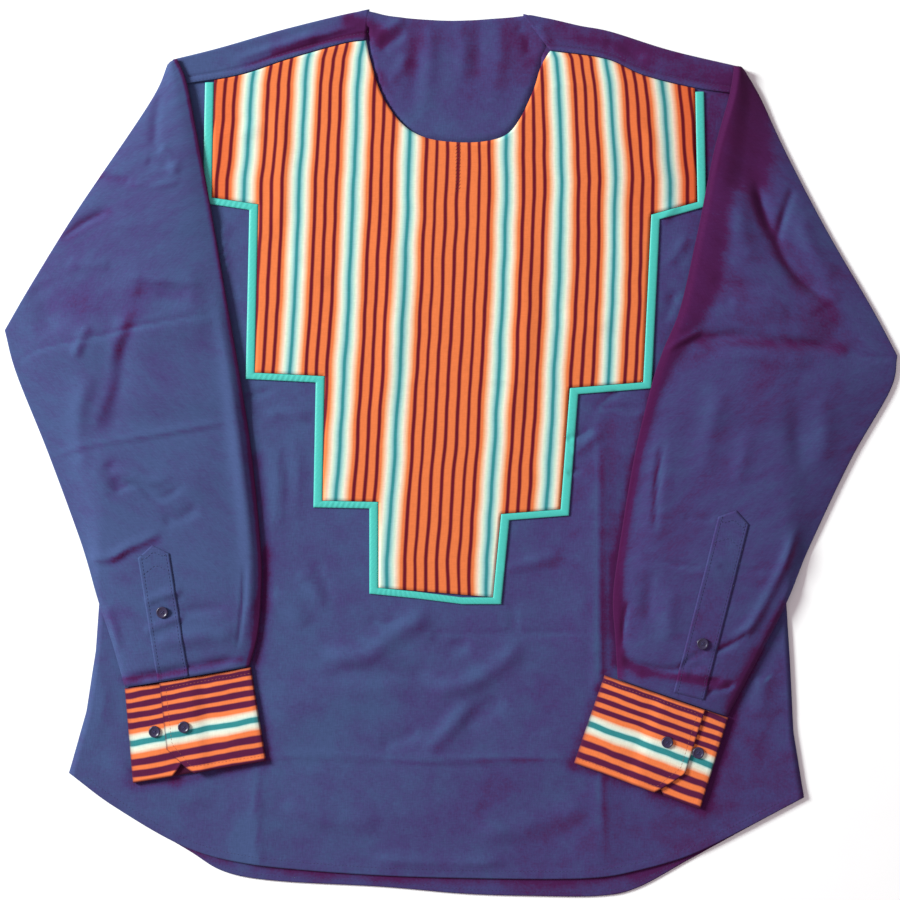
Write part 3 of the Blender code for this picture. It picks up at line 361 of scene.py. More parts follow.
LEFT_SLEEVE_CREASES = table(
    CREASE,
    (4.5, -1.8, 0.4, ((206, 102), (218, 98), (249, 98), (274, 94), (300, 92), (338, 86))),
    (2.0, -0.7, 0.4, ((334, 86), (356, 82), (380, 79))),
    (2.6, 1.1, 0.5, ((182, 84), (188, 89), (197, 95), (216, 104))),
    (7.0, 1.0, 0.4, ((220, 84), (260, 80), (310, 74))),
    (5.5, -2.0, 0.5, ((258, 236), (263, 217), (270, 196), (279, 178), (287, 161), (300, 146),
                      (313, 137), (328, 128))),
    (4.0, -1.2, 0.4, ((293, 228), (286, 209), (281, 191), (279, 178))),
    (8.0, 1.2, 0.3, ((300, 206), (302, 184), (316, 162), (330, 150))),
    (10.0, 1.1, 0.3, ((244, 230), (246, 190), (256, 160))),
    (14.0, -0.8, 0.2, ((316, 126), (324, 110), (328, 92))),
    (4.5, -0.8, 0.4, ((222, 149), (240, 144), (276, 139))),
    (8.0, 0.8, 0.4, ((236, 128), (262, 122), (290, 118))),
    (2.6, -1.0, 0.5, ((181, 12), (178, -6), (175, -30), (173, -68))),
    (2.4, -0.9, 0.6, ((161, -87), (180, -94), (200, -98), (216, -100))),
    (2.6, -0.6, 0.5, ((226, -98), (246, -101), (268, -104))),
    (3.0, -0.5, 0.5, ((198, -56), (212, -58), (226, -58))),
    (4.5, 1.5, -0.4, ((297, -62), (287, -92), (274, -118), (257, -148), (240, -163))),
    (2.6, -1.2, 0.4, ((254, -153), (240, -163), (222, -171))),
    (3.4, -1.9, 0.4, ((143, -176), (152, -180), (163, -183), (184, -187), (206, -185), (220, -183))),
    (2.6, -1.4, 0.4, ((200, -189), (214, -194), (233, -197))),
    (2.2, -0.9, 0.5, ((219, -167), (206, -174), (194, -184))),
    (2.4, -1.2, 0.4, ((218, -206), (230, -203), (244, -199))),
    (2.4, -1.0, 0.4, ((151, -126), (147, -146), (144, -170))),
    (6.0, -0.8, 0.3, ((171, -100), (168, -122), (167, -146))),
    (8.0, 0.9, 0.3, ((188, -116), (184, -140), (186, -162))),
    (8.0, -0.9, 0.3, ((292, 46), (295, 15), (297, -18))),
    (9.0, 0.9, 0.3, ((312, 50), (318, 20), (312, -16))),
    (9.0, 0.9, 0.3, ((232, 60), (220, 20), (214, -20))),
    (7.0, 0.7, 0.4, ((254, 20), (246, -10), (244, -30))),
)
BIB_CREASES = table(
    CREASE,
    (2.2, 0.4, 0.8, ((-60, 59), (20, 61), (100, 58))),
    (2.2, 0.4, 0.8, ((84, 313), (100, 314), (122, 312))),
    (9.0, 0.9, 0.3, ((-60, 200), (-50, 120), (-62, 20))),
    (9.0, 0.8, -0.3, ((60, 190), (66, 110), (50, 10))),
    (7.0, 0.8, 0.4, ((-150, 300), (-146, 250), (-150, 190))),
    (6.0, 0.7, 0.4, ((-198, 276), (-180, 272), (-160, 280))),
    (6.0, 0.7, 0.4, ((150, 296), (168, 270), (176, 232))),
    (8.0, 0.8, 0.4, ((-140, 170), (-120, 150), (-100, 146))),
    (8.0, 0.8, 0.4, ((96, 120), (116, 108), (140, 108))),
)

# Soft strokes of painted shade, darker and more violet, in creases, beside the sleeves and cuffs, at the neck
# and along the shoulder seams; a negative strength paints light
SHADE_ROW = namedtuple("SHADE_ROW", "x0 y0 x1 y1 half_width strength")
SHADES = table(
    SHADE_ROW,
    (-150, 350, -78, 366, 6, 0.40),
    (-150, 343, -80, 359, 4, 0.70),
    (-86, 369, -60, 357, 9, 1.10),
    (-60, 350, -32, 368, 3.5, 0.18),
    (-66, 334, -50, 296, 5, 0.25),
    (-330, 130, -262, 262, 60, 0.20),
    (-26, 372, -28, 336, 8, 0.24),
    (-30, 336, -36, 298, 9, 0.18),
    (21, 371, 23, 328, 7, 0.20),
    (48, 366, 72, 350, 13, 0.34),
    (-40, 340, 50, 330, 40, 0.24),
    (95, 364, 238, 322, 16, 0.42),
    (130, 352, 168, 336, 8, 0.30),
    (225, 300, 214, 240, 10, 0.35),
    (262, 312, 258, 240, 21, 0.80),
    (258, 236, 270, 196, 8, 0.30),
    (270, 196, 300, 146, 8, 0.32),
    (300, 146, 324, 128, 8, 0.25),
    (322, 118, 328, 98, 16, 0.20),
    (212, 97, 336, 88, 5, 0.40),
    (222, 148, 276, 139, 5, 0.14),
    (138, 40, 134, -180, 5, 0.18),
    (174, 62, 158, -6, 4, 0.50),
    (157, -10, 142, -90, 3.6, 0.70),
    (141, -90, 143, -180, 5, 0.75),
    (143, -178, 164, -187, 4, 0.75),
    (164, -187, 236, -198, 3.6, 0.70),
    (284, -130, 262, -172, 4, 0.50),
    (262, -172, 240, -218, 6, 0.75),
    (-280, -196, -250, -191, 3.8, 0.75),
    (-250, -191, -180, -177, 3.4, 0.70),
    (-268, 136, -222, 134, 8, 0.30),
    (-272, 122, -282, 92, 9, 0.30),
    (-284, 84, -300, 22, 9, 0.28),
    (-180, -322, -178, -350, 9, -0.40),
    (-272, -284, -236, -281, 6, 0.60),
    (-236, -281, -158, -263, 6, 0.60),
    (-157, -262, -169, -186, 5.5, 0.50),
    (106, -269, 176, -289, 5.5, 0.50),
    (176, -290, 216, -306, 6, 0.60),
    (217, -304, 240, -226, 6, 0.60),
    (104, -266, 133, -190, 5.5, 0.40),
    (-332, 184, -294, 206, 4.5, 0.60),
    (-304, 236, -272, 231, 4.5, 0.50),
    (-350, 134, -318, 130, 14, 0.22),
    (-288, -92, -250, -75, 3.5, 0.35),
    (-290, -10, -284, -34, 8, 0.28),
    (-262, -150, -234, -141, 5, 0.24),
    (-292, -140, -278, -138, 9, 0.22),
    (-240, -130, -196, -136, 8, 0.16),
    (-167, -4, -159, -84, 4.5, 0.55),
    (-159, -84, -160, -130, 5, 0.80),
    (-161, -130, -168, -178, 7, 0.85),
)

# The band of painted shade along the left sleeve's inner edge, where it rolls: how wide it is down the sleeve
ROLL_SHADE = ((331, 8), (300, 14), (262, 21), (218, 23), (174, 26), (132, 25), (96, 18), (70, 10), (40, 6),
              (-10, 4), (-130, 4))
ROLL_RISE = 2.6
# Painted shade on slopes: the plan direction towards the light, the step for reading a slope, and how much
# painted shade a slope facing away adds
LIGHT_SIDE = (-0.91, 0.41)
SHADE_STEP = 0.8
SLOPE_SHADE_AMOUNT = 1.0
# How far the yoke stands up inside the neck and at the ends of the shoulder strips
NECK_LIFT = 2.4
STRIP_END_LIFT = 3.05

trees = {}


def ease(t):
    """Rises smoothly from 0 to 1 as t goes from 0 to 1."""
    t = np.clip(t, 0.0, 1.0)
    return t * t * (3 - 2 * t)


def mix(a, b, t):
    """The point or number a share t of the way from a to b."""
    return np.asarray(a, float) + (np.asarray(b, float) - np.asarray(a, float)) * t


def smooth_path(points, per_span=12):
    """A Catmull-Rom curve through the points, as a dense polyline."""
    points = np.array(points, float)
    ends = np.vstack([2 * points[0] - points[1], points, 2 * points[-1] - points[-2]])
    t = (np.arange(per_span) / per_span)[:, None]
    spans = [
        0.5 * (2 * b + (c - a) * t + (2 * a - 5 * b + 4 * c - d) * t**2 + (3 * b - a - 3 * c + d) * t**3)
        for a, b, c, d in zip(ends, ends[1:], ends[2:], ends[3:])
    ]
    return np.vstack([*spans, points[-1]])


def at_shares(path, shares):
    """Points at shares of a polyline's length."""
    path = np.array(path, float)
    runs = np.r_[0, np.cumsum(np.linalg.norm(np.diff(path, axis=0), axis=1))]
    return np.stack([np.interp(np.asarray(shares) * runs[-1], runs, column) for column in path.T], axis=1)


def spaced(path, count):
    """count + 1 points at equal steps along a polyline."""
    return at_shares(path, np.arange(count + 1) / count)


def length_of(path):
    return float(np.linalg.norm(np.diff(np.array(path, float), axis=0), axis=1).sum())


def cross_x(path, y):
    """The x where a path that runs down the body crosses the height y."""
    path = np.array(path, float)
    return np.interp(-np.asarray(y, float), -path[:, 1], path[:, 0])


def cross_y(path, x):
    """The y where a path that runs along +X crosses x."""
    path = np.array(path, float)
    return np.interp(x, path[:, 0], path[:, 1])


RIGHT_EDGE = np.array([(row.right_x, row.right_y) for row in BODY_EDGE], float)
LEFT_EDGE = np.array([(row.left_x, row.left_y) for row in BODY_EDGE], float)


def stroke(x, y, row):
    """A soft stroke along the line of a row: 1 on the line, fading over the row's half width."""
    ax, ay = row.x1 - row.x0, row.y1 - row.y0
    t = np.clip(((x - row.x0) * ax + (y - row.y0) * ay) / (ax * ax + ay * ay), 0, 1)
    off = np.hypot(x - row.x0 - ax * t, y - row.y0 - ay * t) / row.half_width
    return np.exp(-off * off)


def fold_rise(x, y, folds):
    """How far the largest folds lift the cloth."""
    rise = np.zeros(np.shape(x))
    for fold in folds:
        rise += fold.rise * stroke(x, y, fold)
    return rise


def crease_rise(x, y, creases, strength=1.3):
    """How far the creases lift the cloth: each is a soft ridge, leaning to one side, fading at its ends."""
    rise = np.zeros(np.shape(x))
    for crease in creases:
        points = smooth_path(crease.points, 5)
        reach = 3.4 * crease.half_width
        low, high = points.min(axis=0) - reach, points.max(axis=0) + reach
        near = (x > low[0]) & (x < high[0]) & (y > low[1]) & (y < high[1])
        px, py = x[near], y[near]
        runs = np.r_[0, np.cumsum(np.linalg.norm(np.diff(points, axis=0), axis=1))]
        best, side, place = np.full(len(px), 1e9), np.zeros(len(px)), np.zeros(len(px))
        for a, b, start, end in zip(points, points[1:], runs, runs[1:]):
            along = (b - a) / (end - start)
            t = np.clip((px - a[0]) * along[0] + (py - a[1]) * along[1], 0, end - start)
            dx, dy = px - a[0] - along[0] * t, py - a[1] - along[1] * t
            off = np.hypot(dx, dy)
            closer = off < best
            best = np.where(closer, off, best)
            side = np.where(closer, np.sign(along[0] * dy - along[1] * dx), side)
            place = np.where(closer, (start + t) / runs[-1], place)
        q = best / crease.half_width
        shape = np.exp(-q * q) + crease.lean * np.tanh(1.6 * side * q) * np.exp(-q * q / 2.5)
        uneven = 0.8 + 0.2 * np.sin(9.0 * place + 0.05 * runs[-1])
        rise[near] += crease.rise * shape * uneven * ease(5 * np.minimum(place, 1 - place) + 0.08)
    return rise * strength * bpy.context.scene.shirt_cloth.crease_strength


def air_rise(x, y):
    """Height of the low dome of air under the front."""
    across = np.maximum(0.0, 1 - ((x - AIR_CENTRE[0]) / AIR_REACH[0]) ** 2)
    along = np.maximum(0.0, 1 - ((y - AIR_CENTRE[1]) / AIR_REACH[1]) ** 2)
    return AIR_RISE * across * along


def plain_front(x, y):
    """The front's upper face without its creases."""
    return FRONT_MIDDLE + CLOTH / 2 + air_rise(x, y) + fold_rise(x, y, FRONT_FOLDS)


def uncovered(x, y):
    """1 where no cuff or sleeve lies on the front, falling to 0 under them."""
    free = np.ones(np.shape(x))
    for rows, side in ((RIGHT_SLEEVE, 1.0), (LEFT_SLEEVE, -1.0)):
        inner = smooth_path([(row.inner_x, row.inner_y) for row in rows])
        off = side * (x - cross_x(inner, y))
        free *= np.where(y > inner[-1, 1], ease((off - 0.5) / 4), 1.0)
    for plan in (RIGHT_CUFF, LEFT_CUFF):
        corners = [plan.outer_top, plan.inner_top, plan.inner_foot, plan.outer_foot]
        free *= ease((outline_distance(x, y, corners) - 0.5) / 4)
    return free


def front_creases(x, y):
    """The front's creases, none so deep that it would press into the back."""
    return np.maximum(crease_rise(x, y, FRONT_CREASES, 1.7) * uncovered(x, y), -0.25 - 0.9 * air_rise(x, y))


def front_surface(x, y):
    """The front's upper face with its creases."""
    x, y = np.asarray(x, float), np.asarray(y, float)
    return plain_front(x, y) + front_creases(x, y)


def slope_from_light(relief, x, y):
    """How much a relief slopes away from the light, where it is given painted shade."""
    dx, dy = LIGHT_SIDE[0] * SHADE_STEP, LIGHT_SIDE[1] * SHADE_STEP
    return (relief(x + dx, y + dy) - relief(x - dx, y - dy)) / (2 * SHADE_STEP)


def shade_of(x, y):
    """Painted shade: darker and more violet away from the lit side, towards the hem, in gentle waves and in
    the strokes.
    """
    x, y = np.asarray(x, float), np.asarray(y, float)
    shade = 0.10 + 0.36 * ease((x + 230) / 480) + 0.10 * ease((-y - 258) / 30)
    shade = shade + 0.06 * np.sin(x / 41 + 1.3) * np.sin(y / 53) + 0.05 * np.sin(x / 17 - y / 23)
    clear = np.ones(np.shape(x))
    for row in SHADES:
        clear = clear * (1 - row.strength * stroke(x, y, row))
    return shade + 1 - clear


def painted_shade_of(x, y, relief):
    """The painted shade, with the painted shade that a relief's slopes away from the light add to it."""
    return shade_of(x, y) + SLOPE_SHADE_AMOUNT * slope_from_light(relief, x, y)


def panel_grid(top, right_edge, left_edge, foot, shares):
    """Plan points that fill four edges. top and foot run along +X, the edges run down at the shares."""
    u = np.linspace(0, 1, len(top))[None, :, None]
    v = np.asarray(shares)[:, None, None]
    ruled = top[None] * (1 - v) + foot[None] * v
    across = right_edge[:, None] * (1 - u) + left_edge[:, None] * u
    corner = (top[0] * (1 - u) + top[-1] * u) * (1 - v) + (foot[0] * (1 - u) + foot[-1] * u) * v
    return ruled + across - corner


def match_foot(hem, top):
    """Points along a hem, spread in x as the points of the top edge are."""
    share = (top[:, 0] - top[0, 0]) / (top[-1, 0] - top[0, 0])
    x = hem[0, 0] + (hem[-1, 0] - hem[0, 0]) * share
    return np.stack([x, cross_y(hem, x)], axis=1)


class Blocks:
    """Grids of points that share their borders, each with map coordinates and a shade for every point."""

    def __init__(self):
        self.points, self.maps, self.shades, self.quads, self.count = [], [], [], [], 0

    def add(self, points, maps=None, shade=None):
        """Adds a grid. Faces point up where rows run down and points run along +X."""
        rows, columns = points.shape[:2]
        if maps is None:
            maps = points[..., :2]
        if shade is None:
            shade = shade_of(points[..., 0], points[..., 1])
        ids = np.arange(rows * columns).reshape(rows, columns) + self.count
        quads = np.stack([ids[1:, :-1], ids[1:, 1:], ids[:-1, 1:], ids[:-1, :-1]], axis=-1).reshape(-1, 4)
        self.points.append(points.reshape(-1, 3))
        self.maps.append(np.asarray(maps, float).reshape(-1, 2))
        self.shades.append(np.asarray(shade, float).reshape(-1))
        self.quads.append(quads)
        self.count += rows * columns

    def mesh(self, name):
        """One mesh in metres, with borders joined, a Cloth map and a shade attribute."""
        points, quads = np.vstack(self.points), np.vstack(self.quads)
        maps, shades = np.vstack(self.maps), np.concatenate(self.shades)
        _, first, index = np.unique(np.round(points * 50).astype(np.int64), axis=0,
                                    return_index=True, return_inverse=True)  # fmt: skip
        index = index.reshape(-1)
        faces, corners = [], []
        for quad in quads:
            ring = [k for j, k in enumerate(quad) if index[k] != index[quad[j - 1]]]
            if len(ring) > 2:
                faces.append([int(index[k]) for k in ring])
                corners += ring
        mesh = bpy.data.meshes.new(name)
        mesh.from_pydata((points[first] * MM).tolist(), [], faces)
        uv = mesh.uv_layers.new(name="Cloth")
        uv.data.foreach_set("uv", (maps[corners] * MM).reshape(-1).astype(np.float32))
        shade = mesh.attributes.new("shade", "FLOAT", "POINT")
        shade.data.foreach_set("value", shades[first].astype(np.float32))
        mesh.shade_smooth()
        mesh.update()
        trees[name] = BVHTree.FromPolygons((points[first]).tolist(), faces)
        return mesh


def height_on(name, x, y):
    """Height of a piece's middle surface under each plan point."""
    tree, heights = trees[name], []
    for px, py in zip(np.atleast_1d(x), np.atleast_1d(y)):
        hit = tree.ray_cast(Vector((float(px), float(py), 100.0)), Vector((0, 0, -1)))[0]
        if hit is None:
            hit = tree.find_nearest(Vector((float(px), float(py), 12.0)))[0]
        heights.append(hit.z)
    return np.array(heights)


def put(name, mesh, material, slot, *nodes):
    """Puts a finished mesh in the scene as a piece that rides with the shirt and stands for its solids."""
    obj = bpy.data.objects.new(name, mesh)
    bpy.context.scene.collection.objects.link(obj)
    mesh.materials.clear()
    mesh.materials.append(material)
    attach(obj, "root")
    if nodes:
        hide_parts(*nodes)
    return obj


def cloth_piece(name, blocks, thickness, material, slot, *nodes):
    """A wall of cloth on both sides of the blocks' middle surface."""
    obj = put(name, blocks.mesh(name), material, slot, *nodes)
    wall = obj.modifiers.new("Cloth", "SOLIDIFY")
    wall.thickness = thickness * MM
    wall.offset = 0.0
    wall.use_rim = True
    return obj


class Shader:
    """Builds a material's nodes with one call for each."""

    def __init__(self, name):
        self.material = bpy.data.materials.new(name)
        self.material.use_nodes = True
        self.tree = self.material.node_tree
        self.principled = self.tree.nodes["Principled BSDF"]

    def add(self, kind, *values, **settings):
        """A node with its inputs set or linked in order. None leaves an input as it is."""
        node = self.tree.nodes.new(kind)
        for key, value in settings.items():
            setattr(node, key, value)
        for socket, value in zip(node.inputs, values):
            self.feed(socket, value)
        return node

    def feed(self, socket, value):
        if value is None:
            return
        if isinstance(value, bpy.types.NodeSocket):
            self.tree.links.new(value, socket)
        elif isinstance(value, bpy.types.Node):
            self.tree.links.new(value.outputs[0], socket)
        else:
            socket.default_value = value

    def math(self, operation, *values):
        return self.add("ShaderNodeMath", *values, operation=operation).outputs[0]

    def cloth_map(self):
        return self.add("ShaderNodeUVMap", uv_map="Cloth").outputs[0]

    def shade(self):
        return self.add("ShaderNodeAttribute", attribute_name="shade").outputs["Fac"]

    def noise(self, place, *values):
        """Noise of a scale, detail and roughness."""
        return self.add("ShaderNodeTexNoise", place, None, *values).outputs[0]

    def sway(self, noise, amount):
        """A noise turned into swings of an amount to either side of 0."""
        return self.math("MULTIPLY", self.math("SUBTRACT", noise, 0.5), amount)

    def wrapped(self, value, half):
        """How far a value lies from the nearest multiple of twice half."""
        return self.math("ABSOLUTE", self.math("WRAP", value, half, -half))

    def relief(self, strength, distance, height):
        """Bumps the surface by a height."""
        bump = self.add("ShaderNodeBump", strength, distance)
        self.feed(bump.inputs["Height"], height)
        self.feed(self.principled.inputs["Normal"], bump)

    def paint(self, colour, threads, amount):
        """Sets the colour, a little lighter or darker from thread to thread."""
        light = self.math("ADD", self.math("MULTIPLY", threads, amount), 1.0 - amount)
        grey = self.add("ShaderNodeCombineColor", light, light, light).outputs[0]
        self.feed(self.principled.inputs["Base Color"], self.blend("MULTIPLY", 1.0, colour, grey))

    def paint_plain(self, colour, threads, amount):
        """The same for a colour that is one value."""
        base = self.add("ShaderNodeRGB")
        base.outputs[0].default_value = (*colour[:3], 1.0)
        self.paint(base.outputs[0], threads, amount)

    def ramp(self, factor, stops):
        """A colour ramp from (place, colour) stops."""
        node = self.add("ShaderNodeValToRGB", factor)
        ramp = node.color_ramp
        ramp.interpolation = "LINEAR"
        while len(ramp.elements) > 1:
            ramp.elements.remove(ramp.elements[-1])
        for k, (place, colour) in enumerate(stops):
            element = ramp.elements[0] if k == 0 else ramp.elements.new(place)
            element.position = place
            element.color = (*colour[:3], 1.0)
        return node.outputs[0]

    def blend(self, kind, factor, a, b):
        """Mixes two colours."""
        node = self.tree.nodes.new("ShaderNodeMix")
        node.data_type = "RGBA"
        node.blend_type = kind
        self.feed(node.inputs[0], factor)
        for socket, value in ((node.inputs[6], a), (node.inputs[7], b)):
            self.feed(socket, (*value[:3], 1.0) if isinstance(value, tuple) else value)
        return node.outputs[2]

    def finish(self, roughness, sheen, specular):
        for name, value in (("Roughness", roughness), ("Sheen Weight", sheen), ("Sheen Roughness", 0.5),
                            ("Specular IOR Level", specular)):  # fmt: skip
            self.principled.inputs[name].default_value = value
        return self.material


def weave(shader, strength):
    """Bumps the surface with warp and weft threads and small crumples, and gives the threads."""
    uv = shader.cloth_map()
    warp = shader.add("ShaderNodeMapping", uv, None, None, (900.0, 160.0, 1.0)).outputs[0]
    weft = shader.add("ShaderNodeMapping", uv, None, None, (160.0, 900.0, 1.0)).outputs[0]
    threads = shader.math("ADD", shader.noise(warp, 1.0, 2.0), shader.noise(weft, 1.0, 2.0))
    crumple = shader.math("MULTIPLY", shader.noise(uv, 38.0, 3.0, 0.55), 5.0)
    shader.relief(strength, 0.0001, shader.math("ADD", threads, crumple))
    return threads


def navy_material():
    """Navy cloth: its own navy where no shade is painted, and painted shade in violet and darker violet where
    the shade attribute and its random blotches rise.
    """
    if "Navy cloth" in bpy.data.materials:
        return bpy.data.materials["Navy cloth"]
    colours = bpy.context.scene.shirt_colours
    shader = Shader("Navy cloth")
    threads, uv = weave(shader, 0.7), shader.cloth_map()
    blotches = shader.sway(shader.noise(uv, 70.0, 4.0, 0.6), 0.7)
    clouds = shader.sway(shader.noise(uv, 26.0, 2.0, 0.5), 0.65)
    specks = shader.sway(shader.noise(uv, 480.0, 2.0, 0.6), 0.5)
    uneven = shader.math("ADD", shader.math("ADD", blotches, clouds), specks)
    shade = shader.math("ADD", shader.shade(), uneven)
    # Painted shade: the ramp runs from navy through violet to the darkest painted shade
    painted_deepest_shade = tuple(c * share for c, share in zip(colours.navy_painted_deep_shade, (0.9, 0.5, 0.7)))
    colour = shader.ramp(shader.math("DIVIDE", shade, 1.5), (
        (0.0, tuple(colours.navy)), (0.33, tuple(colours.navy_painted_shade)), (0.62, tuple(colours.navy_painted_deep_shade)),
        (1.0, painted_deepest_shade)))  # fmt: skip
    shader.paint(colour, threads, 0.3)
    return shader.finish(0.86, sheen=0.05, specular=0.1)


def across_stripes(shader, waver_scale, waver):
    """Millimetres from the stripes' centre line, wavering a little along the cloth."""
    uv = shader.cloth_map()
    across = shader.add("ShaderNodeSeparateXYZ", uv).outputs[0]
    across = shader.math("ADD", across, shader.sway(shader.noise(uv, waver_scale, 1.0), waver))
    return shader.math("MULTIPLY", shader.math("ABSOLUTE", across), 1000.0)


def striped_material():
    """The striped cloth: dark lines, orange, cream and teal, read across the Cloth map."""
    if "Striped cloth" in bpy.data.materials:
        return bpy.data.materials["Striped cloth"]
    colours = bpy.context.scene.shirt_colours
    teal, cream = tuple(colours.teal), tuple(colours.cream)
    orange, dark = tuple(colours.orange), tuple(colours.dark)
    shader = Shader("Striped cloth")
    threads, off = weave(shader, 0.4), across_stripes(shader, 22.0, 0.0030)
    half, half_pitch, line = STRIPE_REPEAT / 2, DARK_PITCH / 2, DARK_WIDTH / 2
    repeat = shader.wrapped(shader.math("SUBTRACT", off, FIRST_TEAL), half)
    centre = shader.wrapped(off, half_pitch)
    blue_halo, pale_halo, cool_cream = (0.16, 0.38, 0.40), (0.36, 0.57, 0.52), (0.54, 0.66, 0.53)
    peach, light_orange = (0.75, 0.50, 0.37), (0.74, 0.38, 0.20)
    places = (
        (0.0, teal), (0.8, teal), (1.7, blue_halo), (3.4, pale_halo), (5.0, cool_cream), (6.2, cream),
        (7.8, peach), (9.4, light_orange), (11.2, orange), (OUTER_DARK - line - 0.5, orange),
        (OUTER_DARK - line + 0.8, dark), (OUTER_DARK + line - 0.8, dark), (OUTER_DARK + line + 0.5, orange),
        (half - line - 0.5, orange), (half - line + 0.8, dark), (half, dark),
    )  # fmt: skip
    stops = [(place / half, colour) for place, colour in places]
    bands = shader.ramp(shader.math("DIVIDE", repeat, half), stops)
    middle = shader.ramp(shader.math("DIVIDE", centre, half_pitch), [
        (0.0, dark), ((line - 0.8) / half_pitch, dark), ((line + 0.5) / half_pitch, orange),
        (1.0, orange)])  # fmt: skip
    inner = shader.math("LESS_THAN", off, 2 * DARK_PITCH)
    colour = shader.blend("MIX", inner, bands, middle)
    # Painted shade: the stripes are darkened and reddened where the shade attribute rises
    colour = shader.blend("MULTIPLY", shader.shade(), colour, (0.88, 0.58, 0.55))
    shader.paint(colour, threads, 0.22)
    return shader.finish(0.85, sheen=0.03, specular=0.1)


def cuff_material(side, orange_width):
    """A cuff's cloth: dark bands with orange ones, a teal line between two of cream, and painted shade
    darkening its edges.
    """
    colours = bpy.context.scene.shirt_colours
    teal, cream = tuple(colours.teal), tuple(colours.cream)
    orange, dark = tuple(1.13 * c for c in colours.orange), tuple(colours.cuff_dark)
    shader = Shader(f"Cuff cloth {side}")
    threads, off = weave(shader, 0.4), across_stripes(shader, 45.0, 0.0022)
    half, line = CUFF_PITCH / 2, orange_width / 2
    band = shader.wrapped(shader.math("SUBTRACT", off, CUFF_ORANGE), half)
    bands = shader.ramp(shader.math("DIVIDE", band, half), [
        (0.0, orange), ((line - 0.6) / half, orange), ((line + 0.6) / half, dark), (1.0, dark)])
    pale = tuple(mix(cream, orange, 0.45))
    middle = shader.ramp(shader.math("DIVIDE", off, CUFF_MIDDLE), [
        (0.0, teal), (0.20, teal), (0.29, (0.42, 0.62, 0.57)), (0.40, (0.66, 0.71, 0.61)), (0.62, cream),
        (0.80, pale), (0.93, orange), (1.0, orange)])  # fmt: skip
    colour = shader.blend("MIX", shader.math("LESS_THAN", off, CUFF_MIDDLE), bands, middle)
    # Painted shade: darker where the shade attribute rises, along the cuff's edges and behind its notch
    colour = shader.blend("MIX", shader.shade(), colour, tuple(0.6 * c for c in dark))
    shader.paint(colour, threads, 0.25)
    return shader.finish(0.85, sheen=0.03, specular=0.1)


def plain_material(name, colour, roughness, scale, strength, variation=0.2, sheen=0.1, specular=0.3):
    """One colour of cloth, thread or button, with fine grain in its bump and colour."""
    if name in bpy.data.materials:
        return bpy.data.materials[name]
    shader = Shader(name)
    place = shader.add("ShaderNodeTexCoord").outputs["Object"]
    grain = shader.noise(place, scale, 3.0)
    shader.relief(strength, 0.0001, grain)
    shader.paint_plain(colour, grain, variation)
    return shader.finish(roughness, sheen=sheen, specular=specular)


def thread_material(name, colour, roughness=0.6):
    """Sewing thread."""
    return plain_material(name, colour, roughness, 3000.0, 0.3)


def piping_material():
    """Turquoise satin piping with its threads running aslant, read from the Cloth map."""
    if "Turquoise piping" in bpy.data.materials:
        return bpy.data.materials["Turquoise piping"]
    shader = Shader("Turquoise piping")
    turn, stretch = (0.0, 0.0, 0.6), (420.0, 1500.0, 1.0)
    twist = shader.add("ShaderNodeMapping", shader.cloth_map(), None, turn, stretch).outputs[0]
    threads = shader.noise(twist, 1.0, 2.0)
    shader.relief(0.6, 0.0002, threads)
    shader.paint_plain(bpy.context.scene.shirt_colours.turquoise, threads, 0.35)
    return shader.finish(0.45, sheen=0.15, specular=0.45)


def stitch_nodes():
    """A node tree that lays stitches along lines: input lines, pitch, length and thread width."""
    if "Stitches along lines" in bpy.data.node_groups:
        return bpy.data.node_groups["Stitches along lines"]
    tree = bpy.data.node_groups.new("Stitches along lines", "GeometryNodeTree")
    face = tree.interface
    face.new_socket("Lines", in_out="INPUT", socket_type="NodeSocketGeometry")
    for name, value in (("Pitch", 0.003), ("Length", 0.0022), ("Thread width", 0.0005)):
        socket = face.new_socket(name, in_out="INPUT", socket_type="NodeSocketFloat")
        socket.default_value = value
        socket.subtype = "DISTANCE"
    face.new_socket("Thread", in_out="INPUT", socket_type="NodeSocketMaterial")
    face.new_socket("Stitches", in_out="OUTPUT", socket_type="NodeSocketGeometry")
    new, link = tree.nodes.new, tree.links.new
    given, done = new("NodeGroupInput"), new("NodeGroupOutput")
    curve, even = new("GeometryNodeMeshToCurve"), new("GeometryNodeResampleCurve")
    even.mode = "LENGTH"
    stitch = new("GeometryNodeMeshIcoSphere")
    stitch.inputs["Radius"].default_value = 0.5
    stitch.inputs["Subdivisions"].default_value = 1
    tangent, turn = new("GeometryNodeInputTangent"), new("FunctionNodeAlignRotationToVector")
    turn.axis = "X"
    size, lay = new("ShaderNodeCombineXYZ"), new("GeometryNodeInstanceOnPoints")
    real, dye = new("GeometryNodeRealizeInstances"), new("GeometryNodeSetMaterial")
    link(given.outputs["Lines"], curve.inputs["Mesh"])
    link(curve.outputs["Curve"], even.inputs["Curve"])
    link(given.outputs["Pitch"], even.inputs["Length"])
    link(tangent.outputs[0], turn.inputs["Vector"])
    link(given.outputs["Length"], size.inputs[0])
    link(given.outputs["Thread width"], size.inputs[1])
    link(given.outputs["Thread width"], size.inputs[2])
    link(even.outputs["Curve"], lay.inputs["Points"])
    link(stitch.outputs["Mesh"], lay.inputs["Instance"])
    link(turn.outputs["Rotation"], lay.inputs["Rotation"])
    link(size.outputs[0], lay.inputs["Scale"])
    link(lay.outputs[0], real.inputs[0])
    link(real.outputs[0], dye.inputs["Geometry"])
    link(given.outputs["Thread"], dye.inputs["Material"])
    link(dye.outputs[0], done.inputs[0])
    return tree


